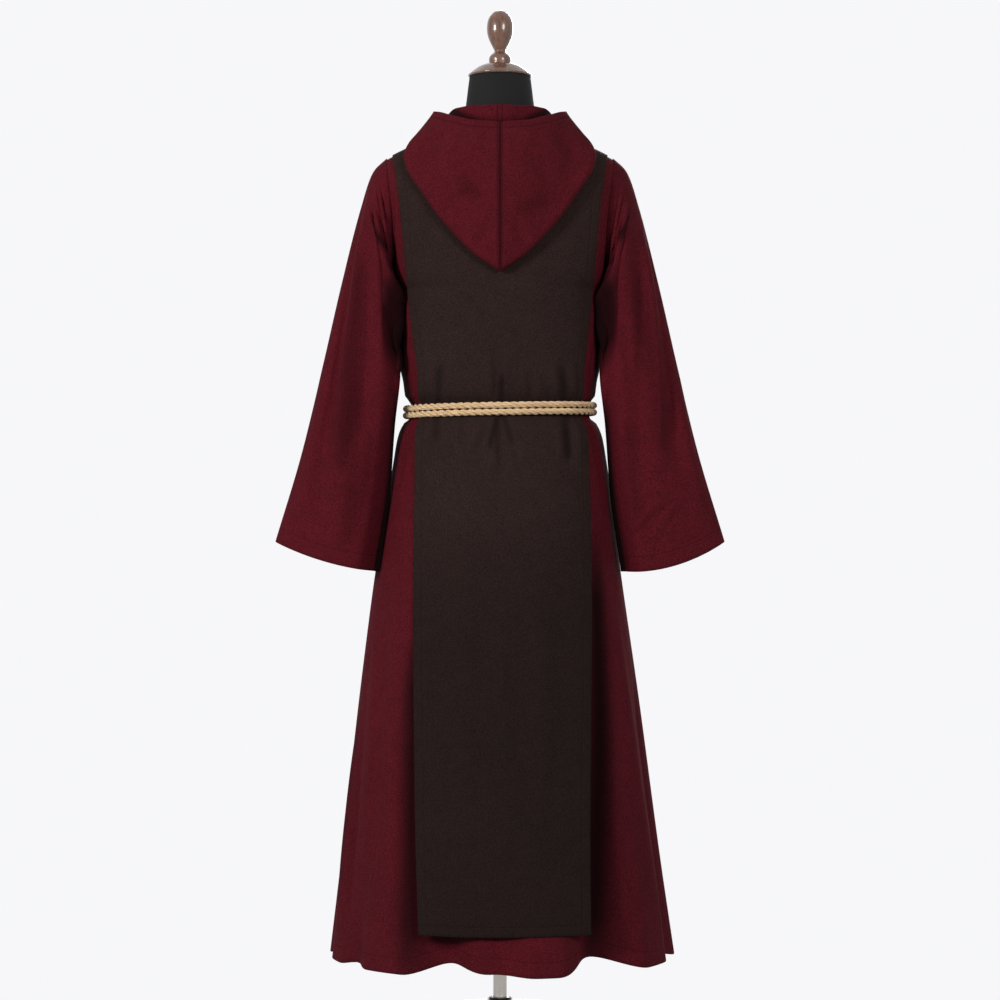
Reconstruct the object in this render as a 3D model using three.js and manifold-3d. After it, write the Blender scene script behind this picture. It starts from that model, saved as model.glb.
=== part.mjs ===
// A monk's habit worn on a limbless dress form: a long wool tunic with wide sleeves and a pointed hood that hangs
// down the back, a scapular over it, and a rope belt tied in front. Millimetres, +Z up, the pole stands on the origin.
// -Y is the wearer's back, +Y the front, -X the wearer's left.
import * as THREE from "three";
import { mergeVertices } from "three/addons/utils/BufferGeometryUtils.js";
import Module from "manifold-3d";

const wasm = await Module();
wasm.setup();

// ---- Driving dimensions ----
const CLOTH = 2.2; // wall of felted wool
const SEAM = 0.3; // gap between two pieces that are sewn together
const LAY = 0.5; // gap between two layers that lie on each other
const BACK = -1; // side of the body, as the sign of y
const FRONT = 1;

const HEM_SIDE = 131; // height of the tunic's hem at the side seams
const HEM_IN_TROUGH = 0.42; // rise of the hem for each millimetre of trough
const RIDGE = 1588; // height of the shoulder line at the neck
const UNDERARM = 1300;
const WAIST = 1088;

// The worn tunic's outer form, a ring at each height: "at" is its height at the centre, and drop what the ring's ends
// lie lower. Rings above the underarm end at the armhole, edge millimetres from the shoulder plane. shift is how far a
// ring lies to the right of the pole, as the skirt sways.
const BODY = [
  { at: 120, drop: 0, half: 306, back: 262, front: 256, edge: 0, round: 2.05, shift: 3.5 },
  { at: 300, drop: 0, half: 282, back: 240, front: 234, edge: 0, round: 2.05, shift: 1 },
  { at: 576, drop: 0, half: 248, back: 206, front: 200, edge: 0, round: 2.1, shift: -2 },
  { at: 788, drop: 0, half: 219, back: 174, front: 170, edge: 0, round: 2.1, shift: -3.5 },
  { at: 900, drop: 0, half: 203, back: 156, front: 152, edge: 0, round: 2.15, shift: -2 },
  { at: 1000, drop: 0, half: 188, back: 136, front: 132, edge: 0, round: 2.2, shift: 0 },
  { at: 1040, drop: 0, half: 181, back: 125.5, front: 122.5, edge: 0, round: 2.2, shift: 0 },
  { at: 1064, drop: 0, half: 171, back: 114, front: 113.5, edge: 0, round: 2.25, shift: 0 },
  { at: 1077, drop: 0, half: 157, back: 104, front: 106, edge: 0, round: 2.25, shift: 0 },
  { at: 1099, drop: 0, half: 156.5, back: 103, front: 106, edge: 0, round: 2.25, shift: 0 },
  { at: 1112, drop: 0, half: 167.5, back: 111, front: 113, edge: 0, round: 2.25, shift: 0 },
  { at: 1140, drop: 0, half: 171.5, back: 117, front: 118, edge: 0, round: 2.3, shift: 0 },
  { at: 1165, drop: 0, half: 177, back: 119, front: 121, edge: 0, round: 2.3, shift: 0 },
  { at: 1200, drop: 0, half: 179.4, back: 121, front: 124, edge: 0, round: 2.3, shift: 0 },
  { at: 1250, drop: 0, half: 181.2, back: 123, front: 126, edge: 0, round: 2.3, shift: 0 },
  { at: UNDERARM, drop: 0, half: 182.2, back: 125.4, front: 127, edge: 0, round: 2.3, shift: 0 },
  { at: 1309, drop: 0, half: 182.3, back: 125.2, front: 126.7, edge: 24, round: 2.3, shift: 0 },
  { at: 1335, drop: 0, half: 182.6, back: 124.6, front: 125, edge: 45, round: 2.3, shift: 0 },
  { at: 1375, drop: 0, half: 184, back: 123, front: 121, edge: 59, round: 2.3, shift: 0 },
  { at: 1430, drop: -2, half: 188, back: 119, front: 114, edge: 65, round: 2.25, shift: 0 },
  { at: 1490, drop: -14, half: 194, back: 107, front: 101, edge: 61, round: 2.2, shift: 0 },
  { at: 1540, drop: -31, half: 198, back: 87, front: 82, edge: 45, round: 2.15, shift: 0 },
  { at: 1570, drop: -45, half: 199.5, back: 58, front: 56, edge: 25, round: 2.1, shift: 0 },
  { at: RIDGE, drop: -56, half: 200, back: 0, front: 0, edge: 0, round: 2, shift: 0 },
];

// Troughs between the skirt's folds. Angles run from the centre back towards +X; depth is at the hem, and a trough
// fades out at its top. drift is how far its upper end lies from the hem's angle.
const TROUGHS = [
  { angle: -58, drift: -2, width: 9, depth: 13, top: 860 },
  { angle: -18.5, drift: -14, width: 15, depth: 42, top: 960 },
  { angle: -2, drift: -2, width: 13, depth: 13, top: 700 },
  { angle: 36.5, drift: 3, width: 19, depth: 52, top: 940 },
  { angle: 77, drift: 3, width: 9, depth: 14, top: 800 },
  { angle: 105, drift: 0, width: 12, depth: 24, top: 900 },
  { angle: 136, drift: 4, width: 16, depth: 34, top: 940 },
  { angle: 176, drift: -3, width: 15, depth: 32, top: 900 },
  { angle: -146, drift: 2, width: 15, depth: 38, top: 960 },
  { angle: -112, drift: -4, width: 13, depth: 26, top: 880 },
  { angle: -84, drift: 0, width: 8, depth: 10, top: 760 },
];

// Neck openings, as half-ellipses about the neck's axis.
const TUNIC_NECK = { half: 86, back: 76, front: 90 };
const SCAPULAR_NECK = { half: 104, back: 92, front: 103 };

// Half the scapular's width, and how far its middle lies from the centre line.
const SCAPULAR_BOTTOM = 199;
const SCAPULAR = [
  { at: SCAPULAR_BOTTOM, half: 144, shift: 8 },
  { at: 400, half: 147, shift: 4.5 },
  { at: 576, half: 149.5, shift: 4.2 },
  { at: 760, half: 152, shift: 4.3 },
  { at: 900, half: 151, shift: 4.3 },
  { at: 1036, half: 145.5, shift: 2.5 },
  { at: 1077, half: 140, shift: 1 },
  { at: 1142, half: 141, shift: 1 },
  { at: 1213, half: 150.5, shift: 0.5 },
  { at: 1284, half: 158.5, shift: 0 },
  { at: 1450, half: 173.5, shift: 0 },
  { at: RIDGE, half: 189, shift: 0 },
];
const SCAPULAR_LIFT = LAY + CLOTH; // its outer face over the tunic's

// A sleeve's top line and underarm line in the plane of the shoulders, its depth from back to front, and how far its
// middle hangs behind that plane. at runs from the armhole to the cuff.
const SLEEVE = [
  { at: 0, topX: 200, topZ: 1532, underX: 182, underZ: UNDERARM, depth: 65, behind: 0, lean: 0 },
  { at: 0.08, topX: 222, topZ: 1509, underX: 186, underZ: 1288, depth: 66, behind: 2, lean: 10 },
  { at: 0.2, topX: 244, topZ: 1443, underX: 182.5, underZ: 1245, depth: 63, behind: 8, lean: 34 },
  { at: 0.4, topX: 277, topZ: 1310, underX: 176, underZ: 1160, depth: 55, behind: 18, lean: 34 },
  { at: 0.6, topX: 309.5, topZ: 1165, underX: 186, underZ: 1060, depth: 48, behind: 29, lean: 20 },
  { at: 0.8, topX: 346, topZ: 1010, underX: 195, underZ: 935, depth: 42, behind: 40, lean: 14 },
  { at: 1, topX: 391, topZ: 857, underX: 213, underZ: 806, depth: 37, behind: 50, lean: 12 },
];
// Long troughs down a sleeve: turn is the angle round it from the top line over the back.
const SLEEVE_TROUGHS = [
  { turn: 62, width: 34, depth: 13, from: 0.12, to: 0.95 },
  { turn: 148, width: 36, depth: 40, from: -0.06, to: 0.62 },
  { turn: 158, width: 32, depth: 46, from: 0.45, to: 1.5 },
  { turn: 246, width: 32, depth: 11, from: 0.05, to: 0.7 },
  { turn: 302, width: 34, depth: 12, from: 0.2, to: 1.1 },
];
const CUFF_SAG = { [-1]: 8, 1: 15 }; // how far each cuff hangs below the line of its two ends

// The hood, lying down: a bag whose outer layer falls from the rim to the fold, and whose inner layer climbs back over
// the shoulders to a roll at the nape and the neck seam. Angles run from the throat to the centre back, out is the
// distance from the neck's axis, and belly how far the outer layer swells.
const HOOD = [
  { at: 0, rimOut: 103, rimZ: 1518, belly: 0, foldZ: 1500, foldLift: 12, rollOut: 99, rollZ: 1524 },
  { at: 22, rimOut: 104, rimZ: 1534, belly: 2, foldZ: 1503, foldLift: 13, rollOut: 96, rollZ: 1535 },
  { at: 50, rimOut: 108, rimZ: 1573, belly: 5, foldZ: 1523, foldLift: 13, rollOut: 92, rollZ: 1572 },
  { at: 80, rimOut: 113, rimZ: 1603, belly: 3, foldZ: 1552, foldLift: 11, rollOut: 91, rollZ: 1598 },
  { at: 92, rimOut: 117, rimZ: 1609, belly: 1, foldZ: 1558, foldLift: 10, rollOut: 91, rollZ: 1603 },
  { at: 104, rimOut: 121, rimZ: 1612, belly: -2, foldZ: 1548, foldLift: 12, rollOut: 90, rollZ: 1609 },
  { at: 122, rimOut: 127, rimZ: 1607, belly: 3, foldZ: 1484, foldLift: 14, rollOut: 88, rollZ: 1614 },
  { at: 142, rimOut: 131, rimZ: 1595, belly: 13, foldZ: 1404, foldLift: 16, rollOut: 86, rollZ: 1614 },
  { at: 160, rimOut: 129, rimZ: 1585, belly: 22, foldZ: 1356, foldLift: 17, rollOut: 84, rollZ: 1613 },
  { at: 180, rimOut: 128, rimZ: 1581, belly: 27, foldZ: 1325, foldLift: 17, rollOut: 84, rollZ: 1613 },
];
const HOOD_LIFT = SCAPULAR_LIFT + 3.2; // the inner layer over the tunic

const ROPE = { radius: 5.75, segments: 4, tilt: 0.018, pitch: 12, clear: 1 };
const KNOT = { x: 17, y: 12, z: 18 }; // half-sizes
const TAIL = { spread: 6.6, end: { left: 470, right: 438 } };
const END_KNOT = { x: 10, y: 9, z: 13 };

const FORM_GAP = 0.6; // between the form and the cloth that it carries
const FORM_BOTTOM = 820;
const FORM_HIPS = [
  { at: FORM_BOTTOM, half: 152, back: 112, front: 108 },
  { at: 890, half: 168, back: 124, front: 118 },
  { at: 970, half: 168, back: 120, front: 116 },
  { at: 1030, half: 161, back: 108, front: 108 },
];
const NECK = [
  [70, 1530],
  [68, 1570],
  [65, 1596],
  [60, 1631],
  [57, 1655],
  [54, 1678.7],
];
const CAP_BOTTOM = 1679;
const CAP = [
  [55.5, CAP_BOTTOM],
  [56.5, CAP_BOTTOM + 2.5],
  [54, CAP_BOTTOM + 5],
  [48, CAP_BOTTOM + 10],
  [38, CAP_BOTTOM + 17],
  [26, CAP_BOTTOM + 22],
];
const FINIAL_BOTTOM = CAP_BOTTOM + 22 + SEAM;
const FINIAL = [
  [19, FINIAL_BOTTOM],
  [19.5, FINIAL_BOTTOM + 9],
  [17, FINIAL_BOTTOM + 15],
  [10, FINIAL_BOTTOM + 22],
  [12.5, FINIAL_BOTTOM + 29],
  [18.5, FINIAL_BOTTOM + 41],
  [22.5, FINIAL_BOTTOM + 54],
  [23, FINIAL_BOTTOM + 68],
  [20, FINIAL_BOTTOM + 81],
  [12, FINIAL_BOTTOM + 91],
  [4, FINIAL_BOTTOM + 94.5],
];
const PLATE = { radius: 205, height: 8, bevel: 3 };
const HUB = { radius: 23, height: 43, round: 7 };
const POLE_RADIUS = 12;

const WOOL_RED = new THREE.MeshStandardMaterial({ color: 0x55161f, roughness: 0.95 });
const WOOL_BROWN = new THREE.MeshStandardMaterial({ color: 0x332621, roughness: 0.95 });
const COTTON_ROPE = new THREE.MeshStandardMaterial({ color: 0xd9bd95, roughness: 0.8 });
const JERSEY = new THREE.MeshStandardMaterial({ color: 0x1e1f20, roughness: 0.9 });
const WOOD = new THREE.MeshStandardMaterial({ color: 0x8a5a35, roughness: 0.35 });
const CHROME = new THREE.MeshStandardMaterial({ color: 0xc4c1ba, roughness: 0.25, metalness: 1 });

// ---- Tables and curves ----
const radians = THREE.MathUtils.degToRad;
const vector = (x, y, z) => new THREE.Vector3(x, y, z);

// A column's value between a table's rows, on a curve that never overshoots them.
function read(table, column, at) {
  const last = table.length - 1;
  const place = THREE.MathUtils.clamp(at, table[0].at, table[last].at);
  let i = 0;
  while (i < last - 1 && place > table[i + 1].at) i++;
  const slope = (k) => (table[k + 1][column] - table[k][column]) / (table[k + 1].at - table[k].at);
  const tangent = (k) => {
    if (k === 0) return slope(0);
    if (k === last) return slope(last - 1);
    const [a, b] = [slope(k - 1), slope(k)];
    return a * b <= 0 ? 0 : (2 * a * b) / (a + b);
  };
  const span = table[i + 1].at - table[i].at;
  const t = (place - table[i].at) / span;
  const [from, to] = [table[i][column], table[i + 1][column]];
  const ease = t * t * (3 - 2 * t);
  return from + (to - from) * ease + span * t * (1 - t) * ((1 - t) * tangent(i) - t * tangent(i + 1));
}

// Where a rising test first turns true between two values.
function bisect(low, high, reached, steps = 26) {
  for (let k = 0; k < steps; k++) {
    const middle = (low + high) / 2;
    if (reached(middle)) high = middle;
    else low = middle;
  }
  return (low + high) / 2;
}

const bump = (share) => (Math.abs(share) < 1 ? Math.cos((share * Math.PI) / 2) ** 2 : 0);

// ---- The body's surface ----
// A point of the tunic's outer form, without its troughs. turn runs from -90 to 90 degrees across the back or front.
function form(side, turn, rise) {
  const power = 2 / read(BODY, "round", rise);
  const across = Math.sign(Math.sin(turn)) * Math.abs(Math.sin(turn)) ** power;
  const bow = Math.abs(Math.cos(turn)) ** power;
  const edge = read(BODY, "edge", rise);
  const depth = read(BODY, side === BACK ? "back" : "front", rise);
  return vector(
    read(BODY, "shift", rise) + read(BODY, "half", rise) * across,
    side * (edge + (depth - edge) * bow),
    rise + read(BODY, "drop", rise) * across ** 2,
  );
}

// The turn at which the form reaches a given x.
function turnAtX(x, rise) {
  const share = THREE.MathUtils.clamp((x - read(BODY, "shift", rise)) / read(BODY, "half", rise), -1, 1);
  return Math.sign(share) * Math.asin(Math.abs(share) ** (read(BODY, "round", rise) / 2));
}

// A function's point moved off its surface, away from the body.
function lifted(surface, u, v, lift, [du, dv]) {
  const point = surface(u, v);
  const alongU = surface(u + du, v).sub(surface(u - du, v));
  const alongV = surface(u, Math.min(v + dv, RIDGE)).sub(surface(u, v - dv));
  const normal = alongU.cross(alongV).normalize();
  const outward = vector(point.x, point.y, 0.6 * Math.max(0, point.z - UNDERARM));
  if (normal.dot(outward) < 0) normal.negate();
  return point.addScaledVector(normal, lift);
}

// The place on the form over a point of the plan, out from the neck's axis in a direction. heading runs from 0 at the
// throat to 180 degrees at the centre back.
function placeOver(heading, out) {
  const side = heading < Math.PI / 2 ? FRONT : BACK;
  const [x, y] = [out * Math.sin(heading), out * Math.abs(Math.cos(heading))];
  const rise = bisect(UNDERARM, RIDGE, (r) => Math.abs(form(side, turnAtX(x, r), r).y) < y);
  return { side, rise, turn: turnAtX(x, rise) };
}

// A point that lies over the form there.
function draped(heading, out, lift) {
  const { side, rise, turn } = placeOver(heading, out);
  return lifted((t, r) => form(side, t, r), Math.min(turn, radians(88)), rise, lift, [radians(1), 2]);
}

// How far out the form falls to a height.
function outAtHeight(heading, height) {
  return bisect(40, 198, (out) => {
    const { side, rise, turn } = placeOver(heading, out);
    return form(side, turn, rise).z < height;
  });
}

// How far a skirt trough sinks the cloth, at an angle from the centre back.
function troughDepth(angle, height) {
  return TROUGHS.reduce((sum, trough) => {
    const share = THREE.MathUtils.clamp((trough.top - height) / (trough.top - HEM_SIDE), 0, 1);
    const centre = radians(trough.angle + trough.drift * (1 - share));
    const off = Math.atan2(Math.sin(angle - centre), Math.cos(angle - centre));
    return sum + trough.depth * share ** 1.3 * bump(off / radians(trough.width));
  }, 0);
}

// ---- Solids ----
function solidGeometry(positions, triangles) {
  const geometry = new THREE.BufferGeometry();
  geometry.setAttribute("position", new THREE.Float32BufferAttribute(positions, 3));
  geometry.setIndex(triangles);
  return geometry;
}

// The corners of a grid's triangles. flip says that the outside is on the grid's other side.
function gridFaces(grid, flip) {
  const across = grid[0].length;
  const corners = [];
  for (let j = 0; j + 1 < grid.length; j++) {
    for (let i = 0; i + 1 < across; i++) {
      const [a, b, c, d] = [j * across + i, j * across + i + 1, (j + 1) * across + i + 1, (j + 1) * across + i];
      corners.push(...(flip ? [a, c, b, a, d, c] : [a, b, c, a, c, d]));
    }
  }
  return corners;
}

const coordinates = (points) => points.flatMap((p) => p.toArray());

// A grid's points moved out of its surface. Points that coincide share one way out, and settle may bend it.
function movedOut(grid, distance, { flip = false, settle = (way) => way } = {}) {
  const across = grid[0].length;
  const faces = gridFaces(grid, flip);
  const joined = mergeVertices(solidGeometry(coordinates(grid.flat()), faces), 1e-3);
  joined.computeVertexNormals();
  const ways = grid.flat().map(() => vector(0, 0, 0));
  faces.forEach((corner, k) => ways[corner].fromBufferAttribute(joined.attributes.normal, joined.index.getX(k)));
  return grid.map((row, j) =>
    row.map((point, i) => {
      const way = settle(ways[j * across + i], point, j).normalize();
      return point.clone().addScaledVector(way, distance);
    }),
  );
}

// A cloth wall: its outer face's grid, and the same points moved in by the cloth's thickness. A grid may close on
// itself or narrow to nothing.
function wall(grid, options = {}) {
  const faces = gridFaces(grid, options.flip);
  const points = [...grid.flat(), ...movedOut(grid, -CLOTH, options).flat()];
  const count = points.length / 2;
  const both = [...faces, ...faces.map((corner) => corner + count)];
  const joined = mergeVertices(solidGeometry(coordinates(points), both), 1e-3);
  const index = [...joined.index.array];
  const triangles = [];
  const edges = new Map();
  for (let k = 0; k < faces.length; k += 3) {
    const [a, b, c] = index.slice(k, k + 3);
    const [inA, inB, inC] = index.slice(faces.length + k, faces.length + k + 3);
    if (a === b || b === c || c === a) continue;
    triangles.push(a, b, c, inC, inB, inA);
    edges.set(`${a} ${b}`, [a, b, inA, inB]);
    edges.set(`${b} ${c}`, [b, c, inB, inC]);
    edges.set(`${c} ${a}`, [c, a, inC, inA]);
  }
  for (const [from, to, inFrom, inTo] of edges.values()) {
    if (!edges.has(`${to} ${from}`)) triangles.push(to, from, inFrom, to, inFrom, inTo);
  }
  joined.setIndex(triangles);
  return joined;
}

// A wall's edge that lies in the plane of a seam stays in it.
const inShoulderPlane = (way, point) => way.setY(way.y * Math.min(1, Math.abs(point.y) / 8));
const inCentrePlane = (way, point) => way.setX(way.x * Math.min(1, Math.abs(point.x) / 8));
const inArmhole = (way, point, row) => (row === 0 ? way.setX(0) : way);

// A closed solid through rings of the same number of points, the back's first and then the front's. Its faces are split
// as the panels' faces are, so it can lie close under them.
function loft(rings) {
  const count = rings[0].length;
  const positions = rings.flat().flatMap((p) => p.toArray());
  const triangles = [];
  for (let j = 0; j + 1 < rings.length; j++) {
    for (let i = 0; i < count; i++) {
      const [a, b] = [j * count + i, j * count + ((i + 1) % count)];
      const [c, d] = [b + count, a + count];
      triangles.push(...(i < count / 2 ? [a, b, c, a, c, d] : [a, b, d, b, c, d]));
    }
  }
  // Each end is closed by strips between its back and front points.
  const cap = (start, up) => {
    for (let i = 0; i < count / 2 - 1; i++) {
      const [a, b] = [start + i, start + i + 1];
      const [c, d] = [start + count - 2 - i, start + count - 1 - i];
      triangles.push(...(up ? [a, b, c, a, c, d] : [a, c, b, a, d, c]));
    }
  };
  cap(0, false);
  cap((rings.length - 1) * count, true);
  return solidGeometry(positions, triangles);
}

function lathe(profile, segments) {
  return new THREE.LatheGeometry(
    profile.map(([radius, height]) => new THREE.Vector2(radius, height)),
    segments,
  ).rotateX(Math.PI / 2);
}

function toManifold(geometry) {
  const bare = geometry.clone();
  ["normal", "uv"].forEach((name) => bare.deleteAttribute(name));
  const merged = mergeVertices(bare, 1e-3);
  const vertProperties = merged.attributes.position.array;
  return new wasm.Manifold(
    new wasm.Mesh({ numProp: 3, vertProperties, triVerts: new Uint32Array(merged.index.array) }),
  );
}

function fromManifold(solid) {
  const { vertProperties, triVerts } = solid.getMesh();
  return solidGeometry([...vertProperties], [...triVerts]);
}

// ---- Tunic and scapular ----
// Both are made on one grid. Its middle columns follow the scapular's width, and its flanks run on to the side seams.
const MIDDLE_COLUMNS = 10;
const FLANK_COLUMNS = 6;
const COLUMNS = MIDDLE_COLUMNS + 2 * FLANK_COLUMNS;
const RISES = [
  SCAPULAR_BOTTOM, 320, 460, 620, 780, 900, 990, 1040, 1064, 1077, 1099, 1112, 1160, 1230, UNDERARM, 1309, 1335, 1377,
  1422,
];
const YOKE = [0.32, 0.63, 0.88, 1]; // rows above the last rise, as shares of the way to the scapular's neck or shoulder

const angleOf = (side, turn) => (side === BACK ? turn : Math.PI - turn);

function columnTurn(column, rise) {
  const along = (column - FLANK_COLUMNS) / MIDDLE_COLUMNS;
  const edge = (share) =>
    turnAtX(read(SCAPULAR, "shift", rise) + (2 * share - 1) * read(SCAPULAR, "half", rise), rise);
  if (along < 0) return THREE.MathUtils.lerp(-Math.PI / 2, edge(0), column / FLANK_COLUMNS);
  if (along > 1) return THREE.MathUtils.lerp(Math.PI / 2, edge(1), (COLUMNS - column) / FLANK_COLUMNS);
  return edge(along);
}

function inNeck(neck, p) {
  return (p.x / neck.half) ** 2 + (p.y / (p.y < 0 ? neck.back : neck.front)) ** 2 < 1;
}

// The rise at which a column meets a neck opening, or the shoulder line.
function columnTop(side, column, neck) {
  const reached = (rise) => inNeck(neck, form(side, columnTurn(column, rise), rise));
  return reached(RIDGE) ? bisect(UNDERARM, RIDGE, reached) : RIDGE;
}

function hemHeight(angle) {
  return HEM_SIDE + HEM_IN_TROUGH * troughDepth(angle, HEM_SIDE);
}

// A column's rises from the scapular's bottom to its neck.
function columnRises(side, column) {
  const top = columnTop(side, column, SCAPULAR_NECK);
  const last = RISES.at(-1);
  return [...RISES, ...YOKE.map((share) => THREE.MathUtils.lerp(last, top, share))];
}

// Rows of points across the back or front, from each column's rises.
function panelGrid(side, risesOf, sinkOf = () => 0) {
  const columns = Array.from({ length: COLUMNS + 1 }, (_, i) =>
    risesOf(i).map((rise) => {
      const turn = columnTurn(i, rise);
      const point = form(side, turn, rise);
      const inward = vector(-point.x, -point.y, 0).normalize();
      return point.addScaledVector(inward, sinkOf(angleOf(side, turn), rise));
    }),
  );
  return columns[0].map((_, j) => columns.map((column) => column[j]));
}

// The two panels part at the seam in the shoulder plane.
function parted(side, grid) {
  grid.flat().forEach((p) => p.setY(side * (Math.max(0, side * p.y) + SEAM / 2)));
  return grid;
}

const tunicRises = (side) => (i) => [
  hemHeight(angleOf(side, columnTurn(i, HEM_SIDE))),
  ...columnRises(side, i),
  columnTop(side, i, TUNIC_NECK),
];

function tunicPanel(side) {
  const grid = panelGrid(side, tunicRises(side), troughDepth);
  return wall(parted(side, grid), { flip: side === FRONT, settle: inShoulderPlane });
}

function scapularPanel(side) {
  const options = { flip: side === FRONT, settle: inShoulderPlane };
  const grid = movedOut(panelGrid(side, tunicRises(side)), SCAPULAR_LIFT, options)
    .slice(1, -1)
    .map((row) => row.slice(FLANK_COLUMNS, FLANK_COLUMNS + MIDDLE_COLUMNS + 1));
  return wall(parted(side, grid), options);
}

// ---- Sleeves ----
// A point on the armhole at a height.
function armhole(side, height) {
  const rise = bisect(UNDERARM, RIDGE, (r) => form(side, Math.PI / 2, r).z > height);
  return form(side, Math.PI / 2, rise);
}

// hand is -1 for the wearer's left sleeve and 1 for the right. turn runs from the top line over the back.
function sleevePoint(hand, turn, place) {
  const row = (column) => read(SLEEVE, column, place);
  const reach = Math.cos(turn);
  const side = Math.sin(turn) > 0 ? BACK : FRONT;
  let sink = 0;
  for (const trough of SLEEVE_TROUGHS) {
    const along = (place - trough.from) / (trough.to - trough.from);
    const off = (THREE.MathUtils.radToDeg(turn) - trough.turn) / trough.width;
    sink += trough.depth * bump(off) * bump(2 * along - 1);
  }
  const depth = (row("depth") - sink) * Math.sin(turn);
  const point = vector(
    (row("topX") * (1 + reach) + row("underX") * (1 - reach)) / 2,
    -row("behind") - (row("lean") * (1 - reach)) / 2 - depth,
    (row("topZ") * (1 + reach) + row("underZ") * (1 - reach)) / 2,
  );
  point.z -= CUFF_SAG[hand] * Math.sin(turn) ** 2 * Math.max(0, (place - 0.7) / 0.3) ** 2;
  // The first stretch fades out of the armhole's own outline.
  const fade = Math.max(0, 1 - place / 0.3) ** 2;
  if (fade > 0) {
    const start = SLEEVE[0];
    const height = (start.topZ * (1 + reach) + start.underZ * (1 - reach)) / 2;
    const edge = armhole(side, THREE.MathUtils.clamp(height, UNDERARM, start.topZ));
    const plain = (start.topX * (1 + reach) + start.underX * (1 - reach)) / 2;
    point.x += (edge.x + SEAM - plain) * fade;
    point.y += (edge.y + start.depth * Math.sin(turn)) * fade;
  }
  point.x *= hand;
  return point;
}

const SLEEVE_ROWS = [0, 0.05, 0.12, 0.22, 0.35, 0.5, 0.67, 0.84, 1];

// A sleeve's first ring runs through the corners of the tunic's armhole, with one more column between each two.
function sleeveTurns() {
  const { topZ, underZ } = SLEEVE[0];
  const heights = columnRises(BACK, 0)
    .filter((rise) => rise >= UNDERARM)
    .map((rise) => form(BACK, Math.PI / 2, rise).z);
  const corners = heights.map((z) => Math.acos(THREE.MathUtils.clamp((2 * z - topZ - underZ) / (topZ - underZ), -1, 1)));
  const down = corners.reverse();
  const ring = [...down, ...down.slice(0, -1).reverse().map((turn) => 2 * Math.PI - turn)];
  return ring.flatMap((turn, i) => (i + 1 < ring.length ? [turn, (turn + ring[i + 1]) / 2] : [turn]));
}

function sleeve(hand) {
  const turns = sleeveTurns();
  const grid = SLEEVE_ROWS.map((place) => turns.map((turn) => sleevePoint(hand, turn, place)));
  grid[0].forEach((point, i, ring) => {
    if (i % 2) point.lerpVectors(ring[i - 1], ring[i + 1], 0.5);
  });
  return wall(grid, { flip: hand > 0, settle: inArmhole });
}

// ---- Hood ----
function hoodProfile(heading) {
  const row = (column) => read(HOOD, column, THREE.MathUtils.radToDeg(heading));
  const away = vector(Math.sin(heading), Math.cos(heading), 0);
  const spot = (out, z) => away.clone().multiplyScalar(out).setZ(z);
  const rim = spot(row("rimOut"), row("rimZ"));
  const onBody = (height, lift) => draped(heading, outAtHeight(heading, height), lift);
  const neckOut = 1 / Math.hypot(away.x / TUNIC_NECK.half, away.y / (away.y < 0 ? TUNIC_NECK.back : TUNIC_NECK.front));
  const neckPoint = draped(heading, neckOut, SEAM + 1.2);
  const foldZ = row("foldZ");
  const foldOuter = onBody(foldZ + 6, HOOD_LIFT + row("foldLift"));
  const foldTip = onBody(foldZ, HOOD_LIFT + row("foldLift") * 0.5).add(vector(0, 0, -3));
  const foldInner = onBody(foldZ + 6, HOOD_LIFT);
  const climb = (share) => {
    const height = THREE.MathUtils.lerp(foldZ + 6, neckPoint.z - 6, share);
    return onBody(height, HOOD_LIFT);
  };
  const swell = (share) => {
    const p = rim.clone().lerp(foldOuter, share);
    return p.addScaledVector(away, row("belly") * Math.sin(Math.PI * share ** 0.85));
  };
  const roll = spot(row("rollOut"), row("rollZ"));
  const rollOut = roll.clone().add(spot(5, -9));
  return [
    rim,
    swell(0.2),
    swell(0.4),
    swell(0.6),
    swell(0.8),
    foldOuter,
    foldTip,
    foldInner,
    climb(0.3),
    climb(0.6),
    climb(0.88),
    rollOut,
    roll,
    neckPoint.clone().lerp(roll, 0.5).addScaledVector(away, -1.5),
    neckPoint,
  ];
}

const HOOD_HEADINGS = [0, 10, 20, 32, 44, 56, 68, 80, 92, 102, 112, 122, 132, 142, 152, 161, 170, 180];

function hood(hand) {
  const grid = HOOD_HEADINGS.map((heading) =>
    hoodProfile(radians(heading)).map((p) => p.setX(hand * (Math.max(0, p.x) + SEAM / 2))),
  );
  return wall(grid, { flip: hand > 0, settle: inCentrePlane });
}

// ---- Rope belt ----
function tube(points, steps, radius) {
  const section = new THREE.Shape();
  section.absarc(0, 0, radius, 0, 2 * Math.PI);
  return new THREE.ExtrudeGeometry(section, {
    steps,
    curveSegments: ROPE.segments,
    extrudePath: new THREE.CatmullRomCurve3(points, false, "centripetal"),
  });
}

// A point of the rope's centre line round the waist, at an angle from the centre back.
function beltPoint(angle, level) {
  const side = Math.cos(angle) > 0 ? BACK : FRONT;
  const turn = side === BACK ? angle : Math.PI - angle;
  const height = WAIST + level + ROPE.tilt * 165 * Math.sin(angle);
  const lift = SCAPULAR_LIFT + ROPE.clear + ROPE.radius;
  const surface = (t, r) => form(side, t, r);
  const safe = Math.atan2(Math.sin(turn), Math.cos(turn));
  const point = lifted(surface, THREE.MathUtils.clamp(safe, -1.55, 1.55), height, lift, [0.01, 2]);
  return point.setZ(height);
}

function beltTurn(level) {
  const opening = Math.asin((KNOT.x + SEAM) / 160);
  const count = 46;
  const points = Array.from({ length: count + 1 }, (_, i) => {
    const angle = -Math.PI + opening + ((2 * Math.PI - 2 * opening) * i) / count;
    return beltPoint(angle, level);
  });
  return tube(points, count, ROPE.radius);
}

const knotCentre = beltPoint(Math.PI, 0).add(vector(0, 6.3, 0));

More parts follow.
